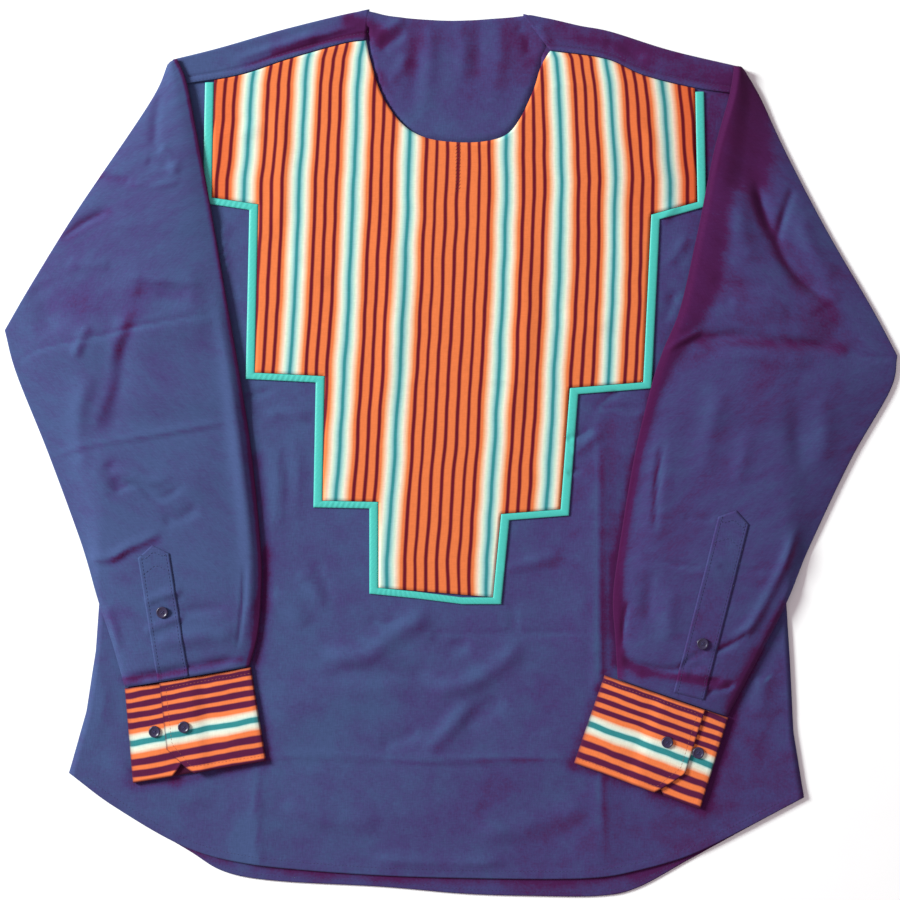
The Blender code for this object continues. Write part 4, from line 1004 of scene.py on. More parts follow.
def stitches(name, lines, material, slot, pitch=None, length=None, width=None):
    """One piece of stitches along all the lines, which are lists of points in millimetres."""
    sewing = bpy.context.scene.shirt_sewing
    points, edges = [], []
    for line in lines:
        start = len(points)
        points += [tuple(float(c) * MM for c in p) for p in line]
        edges += [(k, k + 1) for k in range(start, len(points) - 1)]
    guide_mesh = bpy.data.meshes.new(name + " lines")
    guide_mesh.from_pydata(points, edges, [])
    guide = bpy.data.objects.new(name + " lines", guide_mesh)
    bpy.context.scene.collection.objects.link(guide)
    modifier = guide.modifiers.new("Stitches", "NODES")
    tree = stitch_nodes()
    modifier.node_group = tree
    sockets = {item.name: item.identifier for item in tree.interface.items_tree if item.in_out == "INPUT"}
    modifier[sockets["Pitch"]] = pitch or sewing.stitch_pitch
    modifier[sockets["Length"]] = length or sewing.stitch_length
    modifier[sockets["Thread width"]] = width or sewing.thread_width
    modifier[sockets["Thread"]] = material
    graph = bpy.context.evaluated_depsgraph_get()
    mesh = bpy.data.meshes.new_from_object(guide.evaluated_get(graph))
    mesh.name = name
    bpy.data.objects.remove(guide, do_unlink=True)
    mesh.shade_smooth()
    return put(name, mesh, material, slot)


def on_piece(name, path, lift):
    """A plan path laid on a piece's middle surface and lifted by lift."""
    path = spaced(path, max(2, int(length_of(path) / 3)))
    return np.column_stack([path, height_on(name, path[:, 0], path[:, 1]) + lift])


def beside(path, offset):
    """A plan path moved sideways, to the left of its run where offset is positive."""
    path = np.array(path, float)
    along = np.gradient(path, axis=0)
    along /= np.linalg.norm(along, axis=1)[:, None]
    return path + offset * np.stack([-along[:, 1], along[:, 0]], axis=1)


def seam_y(x):
    """Height of the yoke's front seam on either shoulder."""
    right, left = smooth_path(RIGHT_YOKE_SEAM), smooth_path(LEFT_YOKE_SEAM)
    return np.where(np.asarray(x) < 0, cross_y(right, x), cross_y(left, x))


def hem_relief(x, y, hem):
    """The turned hem: a slightly thicker band along the edge, with a groove where it is stitched."""
    off = y - cross_y(hem, x)
    return 0.35 * ease((HEM_DEPTH + 1.2 - off) / 1.4) - 0.22 * np.exp(-((off - HEM_DEPTH + 1.0) / 0.8) ** 2)


def make_back():
    """The back below the yoke, flat on the table, with its longer curved hem."""
    hem = smooth_path(BACK_HEM)
    shares = np.r_[np.arange(0, 0.955, 0.0125), 0.955 + np.arange(25) * 0.045 / 24]
    right, left = at_shares(RIGHT_EDGE[YOKE_SEAM_ROW:], shares), at_shares(LEFT_EDGE[YOKE_SEAM_ROW:], shares)
    top = spaced([right[0], left[0]], 120)
    plan = panel_grid(top, right, left, match_foot(hem, top), shares)
    x, y = plan[..., 0], plan[..., 1]
    blocks = Blocks()
    below_front = cross_y(smooth_path(FRONT_HEM), x) - y
    # Painted shadow: the back is darker where it shows below the front's hem, most just under it
    shade = shade_of(x, y) + ease((below_front + 3) / 4) * (0.18 + 0.42 * np.exp(-(below_front / 6) ** 2))
    blocks.add(np.dstack([plan, BACK_MIDDLE + np.maximum(0, hem_relief(x, y, hem)) * 0.3]), shade=shade)
    return cloth_piece("back_cloth", blocks, 1.0, navy_material(), "navy_cloth", "back")


def make_front():
    """The front, with its scooped neck, armholes, side seams, curved hem and creases."""
    cells = SHOULDER_CELLS

    def tucked(seam, fold):
        return mix(spaced(smooth_path(seam), cells), spaced(smooth_path(fold), cells), SEAM_TUCK)

    right_top, left_top = tucked(RIGHT_YOKE_SEAM, RIGHT_SHOULDER), tucked(LEFT_YOKE_SEAM, LEFT_SHOULDER)
    neck = smooth_path([right_top[-1], *FRONT_NECK[1:-1], left_top[0]])
    right_neck, left_neck = spaced(neck[:37], 30), spaced(neck[84:][::-1], 30)
    neck_foot = spaced(neck[36:85], 30)
    right_hole = spaced([right_top[0], *RIGHT_EDGE[1:YOKE_SEAM_ROW + 1]], 30)
    left_hole = spaced([left_top[-1], *LEFT_EDGE[1:YOKE_SEAM_ROW + 1]], 30)
    right_line = spaced([right_hole[-1], right_neck[-1]], cells)
    left_line = spaced([left_neck[-1], left_hole[-1]], cells)
    chest = np.vstack([right_line[:-1], neck_foot, left_line[1:]])
    hem = smooth_path(FRONT_HEM)
    shares = np.r_[np.arange(0, 0.975, 0.0055), 0.975 + np.arange(15) * 0.025 / 14]
    right, left = at_shares(RIGHT_EDGE[YOKE_SEAM_ROW:], shares), at_shares(LEFT_EDGE[YOKE_SEAM_ROW:], shares)
    even = np.linspace(0, 1, 31)
    blocks = Blocks()
    for top, outer, inner, foot, steps in (
        (right_top, right_hole, right_neck, right_line, even),
        (left_top, left_neck, left_hole, left_line, even),
        (chest, right, left, match_foot(hem, chest), shares),
    ):
        plan = panel_grid(top, outer, inner, foot, steps)
        x, y = plan[..., 0], plan[..., 1]
        height = front_surface(x, y) - CLOTH / 2 + hem_relief(x, y, hem)
        # Painted shade: the drift and strokes, and darker where the front's creases slope away from the light
        shade = painted_shade_of(x, y, front_creases)
        blocks.add(np.dstack([plan, height]), shade=shade)
    return cloth_piece("front_cloth", blocks, 1.0, navy_material(), "navy_cloth", "front")


def line_distance(x, y, points):
    """Distance in plan from points to a polyline."""
    best = np.full(np.shape(x), 1e9)
    for a, b in zip(points, points[1:]):
        run = max(1e-6, (b[0] - a[0]) ** 2 + (b[1] - a[1]) ** 2)
        t = np.clip(((x - a[0]) * (b[0] - a[0]) + (y - a[1]) * (b[1] - a[1])) / run, 0, 1)
        best = np.minimum(best, np.hypot(x - mix(a[0], b[0], t), y - mix(a[1], b[1], t)))
    return best


def neck_lift(x, y):
    """How far the yoke stands off the table inside the neck, rising to its shoulder strips' ends."""
    ring = [tuple(p) for p in np.vstack([smooth_path(FRONT_NECK), smooth_path(BACK_NECK)[::-1]])]
    outside = outline_distance(x, y, ring)
    lift = NECK_LIFT * ease((line_distance(x, y, smooth_path(FRONT_NECK)) - 0.3) / 2.8) * (outside == 0)
    under_strip = np.where(outside > 0, ease((y - 363) / 3) * ease((10 - outside) / 6), 1.0)
    for end in ((BACK_NECK[0], FRONT_NECK[0]), (BACK_NECK[-1], FRONT_NECK[-1])):
        lift = np.maximum(lift, STRIP_END_LIFT * under_strip * np.exp(-(line_distance(x, y, end) / 13) ** 2))
    return lift


def make_yoke():
    """The yoke: flat behind the neck, folded over each shoulder to a front seam with a turned edge."""
    right_fold, left_fold = spaced(smooth_path(RIGHT_SHOULDER), 56), spaced(smooth_path(LEFT_SHOULDER), 60)
    right_seam, left_seam = spaced(smooth_path(RIGHT_YOKE_SEAM), 56), spaced(smooth_path(LEFT_YOKE_SEAM), 60)
    rim = np.vstack([right_fold[:-1], spaced(smooth_path(BACK_NECK), 44), left_fold[1:]])
    share = (rim[:, 0] - rim[0, 0]) / (rim[-1, 0] - rim[0, 0])
    seam = RIGHT_EDGE[YOKE_SEAM_ROW] + (LEFT_EDGE - RIGHT_EDGE)[YOKE_SEAM_ROW] * share[:, None] + (0, GAP)
    strip_middle = FRONT_MIDDLE + CLOTH + GAP
    radius = (strip_middle - BACK_MIDDLE) / 2
    normal = beside(rim, 1.0) - rim
    inset = rim - normal * radius
    steps = np.linspace(1, 0, 41)[:, None, None]
    plan = seam[None] + (inset - seam)[None] * steps
    x, y = plan[..., 0], plan[..., 1]
    free = ease((y - 262) / 20)
    neck = ease((x + 78) / 16) * ease((90 - x) / 16)
    rise = np.maximum(0, crease_rise(x, y, YOKE_CREASES) * free * neck + neck_lift(x, y))

    def creases(x, y):
        return crease_rise(x, y, YOKE_CREASES)

    blocks = Blocks()
    # Painted shade: darker where the yoke's creases slope away from the light
    blocks.add(np.dstack([plan, BACK_MIDDLE + rise]), shade=painted_shade_of(x, y, creases))
    for start, front_seam in ((0, right_seam), (len(rim) - len(left_seam), left_seam)):
        part = slice(start, start + len(front_seam))
        low = rise[0, part]
        rows = [np.column_stack([inset[part], BACK_MIDDLE + low])]
        for angle in np.linspace(0, math.pi, YOKE_FOLD_CELLS + 1)[1:]:
            swing, lift = math.sin(angle) * radius, (1 - math.cos(angle)) * radius
            rows.append(np.column_stack([inset[part] + normal[part] * swing,
                                         BACK_MIDDLE + lift + low * (1 + math.cos(angle)) / 2]))  # fmt: skip
        painted_seam_shade = [np.zeros(len(front_seam))] * len(rows)
        for t in np.linspace(0, 1, YOKE_STRIP_CELLS + 1)[1:]:
            plan = inset[part] + (front_seam - inset[part]) * t
            x, y = plan[:, 0], plan[:, 1]
            rest = mix(strip_middle, front_surface(x, y) + GAP + CLOTH / 2, t)
            off = np.linalg.norm(plan - front_seam, axis=1)
            edge = 0.5 * ease((6.2 - off) / 1.6) - 0.8 * np.exp(-((off - 5.6) / 1.2) ** 2)
            body = creases(x, y) * ease(t * 4) * ease(off / 4)
            rows.append(np.column_stack([plan, rest + edge + body]))
            # Painted shade: a dark line along the strip a little above its front seam, strong on the right
            # shoulder and faint on the left; the strip also gets painted shade where its creases slope away
            # from the light
            along = ease((x + 200) / 60) if start == 0 else 0.15
            painted_seam_shade.append(along * 0.9 * np.exp(-((off - 6.0) / 2.0) ** 2))
        strip = np.stack(rows[::-1])
        blocks.add(strip, shade=painted_shade_of(strip[..., 0], strip[..., 1], creases) + np.stack(painted_seam_shade[::-1]))
    return cloth_piece("yoke_cloth", blocks, 1.0, navy_material(), "navy_cloth", "yoke")


def meet(p, a, q, b):
    """Where the plan line through p along a meets the line through q along b."""
    cross = a[0] * b[1] - a[1] * b[0]
    t = ((q[0] - p[0]) * b[1] - (q[1] - p[1]) * b[0]) / cross
    return (p[0] + a[0] * t, p[1] + a[1] * t)


def bib_outline():
    """The piping's outer edge: down the right steps, across the foot and up the left steps."""
    right, left = [BIB_TOP[0]], [BIB_TOP[1]]
    for step in BIB_STEPS:
        right += [(step.outer_right_x, step.outer_right_y), (step.inner_right_x, step.inner_right_y)]
        left += [(step.outer_left_x, step.outer_left_y), (step.inner_left_x, step.inner_left_y)]
    return right + left[::-1]


def inner_outline(outer, extra=0.0):
    """The piping's inner edge: each run of the outer outline moved in by its width and cut at the corners."""
    runs = []
    for a, b in zip(outer, outer[1:]):
        length = math.dist(a, b)
        along = ((b[0] - a[0]) / length, (b[1] - a[1]) / length)
        width = (PIPING_SIDE_WIDTH if abs(along[1]) > abs(along[0]) else PIPING_STEP_WIDTH) + extra
        runs.append(((a[0] - along[1] * width, a[1] + along[0] * width), along, length))
    inner = [runs[0][0]]
    for (p, a, _), (q, b, _) in zip(runs, runs[1:]):
        straight = abs(a[0] * b[1] - a[1] * b[0]) < 0.15
        inner.append(q if straight else meet(p, a, q, b))
    last, along, length = runs[-1]
    inner.append((last[0] + along[0] * length, last[1] + along[1] * length))
    return inner


def stripe_map(x, y):
    """Map coordinates on the bib: across the stripes from their centre line, and along them."""
    rows = np.array([(row.y, row.centre_x, row.right_spread, row.left_spread) for row in GRAIN[::-1]])
    centre = np.interp(y, rows[:, 0], rows[:, 1])
    off = x - centre
    spread = np.where(off < 0, np.interp(y, rows[:, 0], rows[:, 2]), np.interp(y, rows[:, 0], rows[:, 3]))
    across = off / spread
    drawn_in = np.where(off < 0, 0.9, OUTER_DRAW) * ease((np.abs(across) - 118) / 24)
    return np.dstack([across + np.sign(across) * drawn_in, y])


def make_bib():
    """The striped bib: four stepped tiers, with the neck cut out of the first."""
    inner = [np.array(p, float) for p in inner_outline(bib_outline(), GAP)]
    tiers = len(BIB_STEPS)
    right, left = inner[:2 * tiers + 1], inner[::-1][:2 * tiers + 1]
    uppers = [(right[2 * k], left[2 * k]) for k in range(tiers)]
    lowers = [(right[2 * k + 1], left[2 * k + 1]) for k in range(tiers)]
    side_cells, core_cells = (13, 20, 16), 38

    def foot_row(k):
        """The row of points at the foot of tier k, from its right corner to its left."""
        a, b = uppers[k + 1] if k + 1 < tiers else lowers[k]
        if k + 1 == tiers:
            return spaced([a, b], core_cells)
        inside = []
        for m in range(k + 1, tiers):
            narrow = np.linalg.norm(uppers[m][1] - uppers[m][0]) / np.linalg.norm(b - a)
            inside.append((mix(a, b, (1 - narrow) / 2), mix(a, b, (1 + narrow) / 2)))
        corners = [lowers[k][0], *[p for p, _ in inside], *[q for _, q in reversed(inside)], lowers[k][1]]
        cells = [*side_cells[k:], core_cells, *side_cells[k:][::-1]]
        rows = [spaced([p, q], c)[:-1] for p, q, c in zip(corners, corners[1:], cells)]
        return np.vstack([*rows, corners[-1]])

    neck = smooth_path([RIGHT_YOKE_SEAM[-1], *FRONT_NECK[1:-1], LEFT_YOKE_SEAM[0]])
    neck[0] -= (0, BIB_SEAM_GAP)
    neck[-1] -= (0, BIB_SEAM_GAP)
    right_cells, left_cells, rows = 58, 49, 28

    def shoulder(start, end, cells):
        x = np.linspace(start[0], end[0], cells + 1)
        return np.column_stack([x, seam_y(x) - BIB_SEAM_GAP])

    right_neck, left_neck = spaced(neck[:37], rows), spaced(neck[84:][::-1], rows)
    right_top, left_top = shoulder(right[0], neck[0], right_cells), shoulder(neck[-1], left[0], left_cells)
    right_side = spaced([right_top[0], mix(right[0], right[1], 0.4)], rows)
    left_side = spaced([left_top[-1], mix(left[0], left[1], 0.4)], rows)
    right_line = spaced([right_side[-1], right_neck[-1]], right_cells)
    left_line = spaced([left_neck[-1], left_side[-1]], left_cells)
    chest = np.vstack([right_line[:-1], spaced(neck[36:85], 29), left_line[1:]])
    even = np.linspace(0, 1, rows + 1)
    plans = [
        panel_grid(right_top, right_side, right_neck, right_line, even),
        panel_grid(left_top, left_neck, left_side, left_line, even),
    ]
    head = chest
    starts = (right_side[-1], left_side[-1])
    for k in range(tiers):
        foot = foot_row(k)
        count = max(4, round(np.linalg.norm(lowers[k][0] - starts[0]) / 3.2))
        sides = [spaced([a, b], count) for a, b in zip(starts, lowers[k])]
        plans.append(panel_grid(head, sides[0], sides[1], foot, np.linspace(0, 1, count + 1)))
        if k + 1 < tiers:
            head = foot[side_cells[k]:-side_cells[k]]
            starts = uppers[k + 1]
            head = np.vstack([starts[0], head[1:-1], starts[1]])
    blocks = Blocks()
    for plan in plans:
        x, y = plan[..., 0], plan[..., 1]
        height = front_surface(x, y) + GAP + BIB / 2 + crease_rise(x, y, BIB_CREASES)
        # Painted shade: stronger near the bib's sides and high on its +X side
        bib_painted_shade = 0.55 * ease((np.abs(x - 4) - 182) / 20) + 0.3 * ease((x - 115) / 50) * ease((y - 180) / 40)
        blocks.add(np.dstack([plan, height]), stripe_map(x, y), bib_painted_shade)
    return cloth_piece("bib_cloth", blocks, 1.0, striped_material(), "striped_cloth", "striped_bib")


def make_piping():
    """The turquoise piping: a rounded strip of slanting threads, mitred at the stepped edge's corners."""
    outer = bib_outline()
    inner = inner_outline(outer)
    across = np.array([0.0, 0.0, 0.04, 0.14, 0.32, 0.5, 0.68, 0.86, 0.96, 1.0, 1.0, 0.5])
    level = np.array([0.02, 0.45, 0.72, 0.90, 0.98, 1.0, 0.98, 0.90, 0.72, 0.45, 0.02, 0.0])
    loops, maps, run = [], [], 0.0
    last = len(outer) - 2
    for k in range(len(outer) - 1):
        length = math.dist(outer[k], outer[k + 1])
        upright = abs(outer[k + 1][1] - outer[k][1]) > abs(outer[k + 1][0] - outer[k][0])
        count = max(2, round(length / 1.3))
        for j in range(count + (k == last)):
            a, b = mix(outer[k], outer[k + 1], j / count), mix(inner[k], inner[k + 1], j / count)
            at = run + length * j / count
            place = a + (b - a) * across[:, None]
            base = front_surface(place[:, 0], place[:, 1]) + GAP
            twist = np.sin(2 * math.pi * (at / GATHER_PITCH + 1.1 * across)) * np.minimum(level, 1.0)
            amount = (0.05 if upright else 0.16) * min(1.0, 4 * min(j, count - j) / count + 0.2)
            loops.append(np.column_stack([place, base + level * (PIPING - 0.15) + amount * twist]))
            maps.append(np.column_stack([across * 7.0, np.full(len(across), at)]))
        run += length
    size = len(across)
    points = np.vstack(loops)
    faces = [tuple(range(size)), tuple(reversed(range(len(points) - size, len(points))))]
    for k in range(len(loops) - 1):
        for j in range(size):
            a, b = k * size + j, k * size + (j + 1) % size
            faces.append((b, a, a + size, b + size))
    mesh = bpy.data.meshes.new("piping")
    mesh.from_pydata((points * MM).tolist(), [], faces)
    uv, flat = mesh.uv_layers.new(name="Cloth"), np.vstack(maps) * MM
    for loop in mesh.loops:
        uv.data[loop.index].uv = flat[loop.vertex_index]
    mesh.shade_smooth()
    return put("piping", mesh, piping_material(), "turquoise_cloth", "bib_piping")


def outline_distance(x, y, outline):
    """Distance from points to a closed outline, or 0 inside it."""
    best, inside = np.full(np.shape(x), 1e9), np.zeros(np.shape(x), bool)
    for a, b in zip(outline, outline[1:] + outline[:1]):
        dx, dy = b[0] - a[0], b[1] - a[1]
        t = np.clip(((x - a[0]) * dx + (y - a[1]) * dy) / (dx * dx + dy * dy), 0, 1)
        best = np.minimum(best, np.hypot(x - a[0] - dx * t, y - a[1] - dy * t))
        if dy:
            inside ^= ((a[1] > y) != (b[1] > y)) & (x < a[0] + dx * (y - a[1]) / dy)
    return np.where(inside, 0.0, best)


def rest_height(x, y):
    """What a sleeve rests on inside the body: the front, and the bib or the yoke where it covers them."""
    on_bib = 1 - ease((outline_distance(x, y, bib_outline()) - 14) / 26)
    on_yoke = ease((y - seam_y(x) + 26) / 18)
    stack = np.maximum((PIPING + GAP) * on_bib, (CLOTH + GAP) * on_yoke)
    return plain_front(x, y) + stack + SLEEVE_CLEAR


def sleeve_section(inner, outer, edge, open_armhole, near_underarm, head_share, folds, creases, roll):
    """One section of a sleeve, as a loop of points: from the armhole or the body's edge outwards along the
    lower layer, round the outer fold, back along the upper layer, round the inner fold and back below."""
    width = float(np.linalg.norm(outer - inner))
    along = (outer - inner) / width
    side = -1.0 if along[0] < 0 else 1.0

    def at(t):
        t = np.asarray(t, float)
        return inner[0] + along[0] * t, inner[1] + along[1] * t

    def beyond(t):
        """How far outside the body's edge the point at t lies."""
        x, y = at(t)
        return side * (x - cross_x(edge, y))

    tries = np.linspace(0, width, 200)
    outside = beyond(tries) >= 0
    body_edge = float(tries[np.argmax(outside)]) if outside.any() else width

    def lower_middle(t):
        """Middle of the lower layer: on the body inside its edge, and on the table outside."""
        x, y = at(t)
        drop = ease((beyond(t) - RAMP_START) / SLEEVE_RAMP)
        if open_armhole:
            drop = np.where(np.asarray(t) > body_edge, 1.0, drop)
        return rest_height(x, y) * (1 - drop) + CLOTH / 2

    outer_fold = min(SLEEVE_FOLD + SLEEVE_HEAD_ROUND * head_share, width / 5)
    inner_fold = min(SLEEVE_FOLD, width / 6)
    outer_end, inner_end = width - outer_fold, inner_fold
    if open_armhole:
        start = min(body_edge + SEAM_CLEAR + UNDERARM_CLEAR * near_underarm, outer_end - 1.0)
        finish_at = max(body_edge - SEAM_CLEAR, inner_end + 1.5)
    else:
        start = finish_at = min(body_edge + RAMP_START, outer_end - STRAND_CELLS)
    k = np.arange(STRAND_CELLS)
    even = start + (outer_end - start) * k / STRAND_CELLS
    t = even if open_armhole else np.where(k < 3, np.minimum(start + SLEEVE_RAMP / 2 * k, even), even)
    parts = [np.column_stack([*at(t), lower_middle(t)])]
    angle = np.linspace(0, math.pi, ARC_CELLS + 1)
    foot = float(lower_middle(outer_end))
    outer_round = foot + (1 - np.cos(angle)) * outer_fold
    parts.append(np.column_stack([*at(outer_end + np.sin(angle) * outer_fold), outer_round]))
    base = float(lower_middle(inner_end))
    top_inner, top_outer = base + 2 * inner_fold, foot + 2 * outer_fold
    t = (outer_end + (inner_end - outer_end) * np.arange(1, SLEEVE_TOP_CELLS) / SLEEVE_TOP_CELLS)
    x, y = at(t)
    fall = ease((t - body_edge) / max(width - body_edge, 1.0))
    share = 2 * (t - inner_end) / (outer_end - inner_end) - 1
    rise = min(SLEEVE_PUFF, 0.035 * width) * (1 - share**4)
    inside = ease(np.minimum(t, width - t) / 30)
    near_edge = ease(np.minimum(t, width - t) / 8)
    height = top_inner + (top_outer - top_inner) * fall + rise
    height += inside * fold_rise(x, y, folds) + near_edge * crease_rise(x, y, creases, 1.6)
    if roll > 0:
        height += ROLL_RISE * min(1.0, roll / 14) * ease((roll + 6 - t) / (roll + 4)) * ease(t / 5)
    height = np.maximum(height, lower_middle(t) + CLOTH + GAP)
    parts.append(np.column_stack([x, y, height]))
    inner_round = base + (1 + np.cos(angle)) * inner_fold
    parts.append(np.column_stack([*at(inner_end - np.sin(angle) * inner_fold), inner_round]))
    t = inner_end + (finish_at - inner_end) * np.arange(1, STRAND_CELLS + 1) / STRAND_CELLS
    height = lower_middle(np.minimum(t, body_edge) if open_armhole else t)
    parts.append(np.column_stack([*at(t), height]))
    return np.vstack(parts)


def sleeve_stations(rows, step):
    """Inner and outer edge points down the sleeve, smooth above and below the elbow's corner."""
    stations = []
    for first, last in ((0, ELBOW_ROW), (ELBOW_ROW, len(rows) - 1)):
        pairs = np.hstack([
            smooth_path([(row.inner_x, row.inner_y) for row in rows[first:last + 1]]),
            smooth_path([(row.outer_x, row.outer_y) for row in rows[first:last + 1]]),
        ])  # fmt: skip
        pairs = spaced(pairs, round(length_of(pairs[:, 2:]) / step))
        stations.append(pairs if not stations else pairs[1:])
    return np.vstack(stations)


def make_sleeve(side):
    """A sleeve: a flattened tube below the underarm, and above it a sheet that opens round the armhole."""
    right = side == "right"
    rows, edge = (RIGHT_SLEEVE, RIGHT_EDGE) if right else (LEFT_SLEEVE, LEFT_EDGE)
    folds = RIGHT_SLEEVE_FOLDS if right else LEFT_SLEEVE_FOLDS
    creases = RIGHT_SLEEVE_CREASES if right else LEFT_SLEEVE_CREASES
    stations = sleeve_stations(rows, 3.2)
    underarm = edge[UNDERARM_ROW][1]
    roll_y, roll_width = np.array(ROLL_SHADE[::-1], float).T
    loops, shades = [], []
    for station in stations:
        inner, outer = station[:2], station[2:]
        half = (inner[1] + outer[1]) / 2
        head_share = 1 - ease(math.dist(outer, stations[0][2:]) / 60)
        near_underarm = 1 - ease((half - underarm - 10) / 70)
        roll = 0.0 if right else float(np.interp(inner[1], roll_y, roll_width))
        loop = sleeve_section(
            inner, outer, edge, half > underarm, near_underarm, head_share, folds, creases, roll)
        loops.append(loop)
        # Painted shade: a thin dark line along the right sleeve's inner edge, and on the left sleeve a wide
        # dark band along the rolled edge
        across = np.linalg.norm(loop[:, :2] - inner, axis=1)
        near_edge = 0.5 * ease((9 - across) / 7)
        painted_roll_shade = min(1.0, roll / 8) * (0.62 * ease((roll + 9 - across) / 16) + near_edge)
        shades.append(0.9 * ease((4.0 - across) / 2.6) if right else painted_roll_shade)
    loops = np.stack(loops)
    x, y = loops[..., 0], loops[..., 1]
    shades = np.stack(shades) + shade_of(x, y)
    # Painted shade where the sleeve's creases slope away from the light
    shades += SLOPE_SHADE_AMOUNT * slope_from_light(lambda x, y: crease_rise(x, y, creases), x, y)
    around = np.cumsum(np.linalg.norm(np.diff(loops, axis=1, prepend=loops[:, :1]), axis=2), axis=1)
    middles = (stations[:, :2] + stations[:, 2:]) / 2
    down = np.cumsum(np.r_[0, np.linalg.norm(np.diff(middles, axis=0), axis=1)])
    maps = np.dstack([around, np.broadcast_to(down[:, None], around.shape)])
    if right:
        loops, maps, shades = loops[:, ::-1], maps[:, ::-1], shades[:, ::-1]
    blocks = Blocks()
    blocks.add(loops[::-1], maps[::-1], shades[::-1])
    name = f"sleeve_{side}_cloth"
    return cloth_piece(name, blocks, 1.0, navy_material(), "navy_cloth", f"sleeve_{side}")


def corner_share(distance):
    """How much of the cuff's height is left this far from the tip of an end with a slanting corner."""
    return 1 - CUFF_CORNER_SHARE * max(0.0, 1 - distance / CUFF_CORNER_REACH) ** 1.15


def cuff_spot(plan, reach, share):
    """Plan point at a reach from the outer side and a share of the height from the top."""
    width = math.dist(plan.outer_top, plan.inner_top)
    return mix(mix(plan.outer_top, plan.inner_top, reach / width),
               mix(plan.outer_foot, plan.inner_foot, reach / width), share)  # fmt: skip


def make_cuff(side):
    """A cuff: one striped strip from its hidden end round both folds to the buttoned flap on top."""
    plan = RIGHT_CUFF if side == "right" else LEFT_CUFF
    width = math.dist(plan.outer_top, plan.inner_top)
    tips = np.array([0.0, 0.7, 1.8, 3.4, 5.5, 8.0, 11.0, 14.5, CUFF_CORNER_REACH])
    under_lift, flap_lift = 2 * CUFF_FOLD, 2 * CUFF_FOLD + CUFF + GAP
    angle = np.linspace(0, math.pi, 7)
    over = CUFF_UNDER_REACH + 2
    beyond_tips = range(21, 49, 3)
    stations = [(CUFF_UNDER_REACH - d, under_lift, corner_share(d)) for d in (*tips, *beyond_tips)]
    stations += [(CUFF_FOLD * (1 - math.sin(a)), (1 + math.cos(a)) * CUFF_FOLD, 1.0) for a in angle]
    stations += [(r, 0.0, 1.0) for r in np.linspace(CUFF_FOLD, width - CUFF_FOLD, 14)[1:-1]]
    stations += [(width - CUFF_FOLD * (1 - math.sin(a)), (1 - math.cos(a)) * CUFF_FOLD, 1.0) for a in angle]
    for reach in np.arange(width - 4, plan.flap_reach + CUFF_CORNER_REACH + 1, -2.5):
        puff = 0.5 * math.sin(math.pi * min(1.0, (width - reach) / (width - over))) if reach > over else 0.0
        sink = (under_lift - flap_lift) * float(ease((reach - over) / 14))
        stations.append((reach, flap_lift + sink + puff, 1.0))
    stations += [(plan.flap_reach + d, flap_lift, corner_share(d)) for d in tips[::-1]]
    stations = np.array(stations, float)
    depth = length_of([plan.inner_top, plan.inner_foot])
    run = np.r_[0, np.cumsum(np.abs(np.diff(stations[:, 0])) + np.abs(np.diff(stations[:, 1])))]
    end_off = np.minimum(stations[:, 0], width - stations[:, 0])
    end_off[:len(tips)] = CUFF_UNDER_REACH - stations[:len(tips), 0]
    end_off[-len(tips):] = stations[-len(tips):, 0] - plan.flap_reach
    grid, maps, edges = [], [], []
    slip = np.interp(np.arange(len(stations)), (0, 18, 26), (plan.under_slip, plan.under_slip, 0.0))
    teal_depth = mix(plan.teal_depth, plan.inner_teal_depth, stations[:, 0] / width)
    # Painted shade: the edges list holds the cuff's dark painted edges and the dark bottom layer seen through
    # the notch
    by_notch = (stations[:, 1] < 0.3) * ease((NOTCH_HALF_WIDTH - np.abs(stations[:, 0] - NOTCH_REACH)) / 4)
    for down in np.linspace(0, 1, CUFF_ROWS + 1):
        share = stations[:, 2] * down
        plan_points = np.array([cuff_spot(plan, reach, s) for reach, s in zip(stations[:, 0], share)])
        x, y = plan_points[:, 0], plan_points[:, 1]
        rest = plain_front(x, y) + GAP + CUFF / 2
        off = np.minimum(share * depth, (stations[:, 2] - share) * depth)
        behind_notch = by_notch * ease((share - 0.8) / 0.05)
        edges.append(np.maximum(0.8 * ease(1 - np.minimum(off, end_off) / 1.8), behind_notch))
        rim = 0.22 * ease((5.0 - off) / 1.2) - 0.16 * np.exp(-((off - 5.0) / 0.9) ** 2)
        ripple = 0.25 * np.sin(share * 9 + stations[:, 0] / 11)
        grid.append(np.column_stack([x, y, rest + stations[:, 1] + (rim + ripple) * (stations[:, 1] > 1.5)]))
        off = share * depth + slip - teal_depth
        off = np.where(off < -6, -6 + (off + 6) * plan.upper_spread, off)
        off = np.where(off > 6, 6 + (off - 6) * plan.lower_spread, off)
        maps.append(np.column_stack([off, run]))
    grid, maps, edges = np.stack(grid), np.stack(maps), np.stack(edges)
    if side == "right":
        grid, maps, edges = grid[::-1], maps[::-1], edges[::-1]
    blocks = Blocks()
    blocks.add(grid, maps, edges)
    material = cuff_material(side, plan.orange_width)
    return cloth_piece(f"cuff_{side}_cloth", blocks, 1.4, material, "striped_cloth", f"cuff_{side}")


def placket_grid(plan, rows, columns):
    """Plan points of a placket, with its pointed top."""
    top, foot = np.array(plan[:2], float), np.array(plan[2:4], float)
    length = math.dist(top, foot)
    along = (foot - top) / length
    across = np.array([-along[1], along[0]])
    k, j = np.meshgrid(np.linspace(-1, 1, columns + 1), np.linspace(0, 1, rows + 1))
    point = PLACKET_POINT * (1 - np.abs(k)) * (1 - j)
    spots = top + along * (length * j - point)[..., None] + across * (PLACKET_WIDTH / 2 * k)[..., None]
    return spots, k, j, length


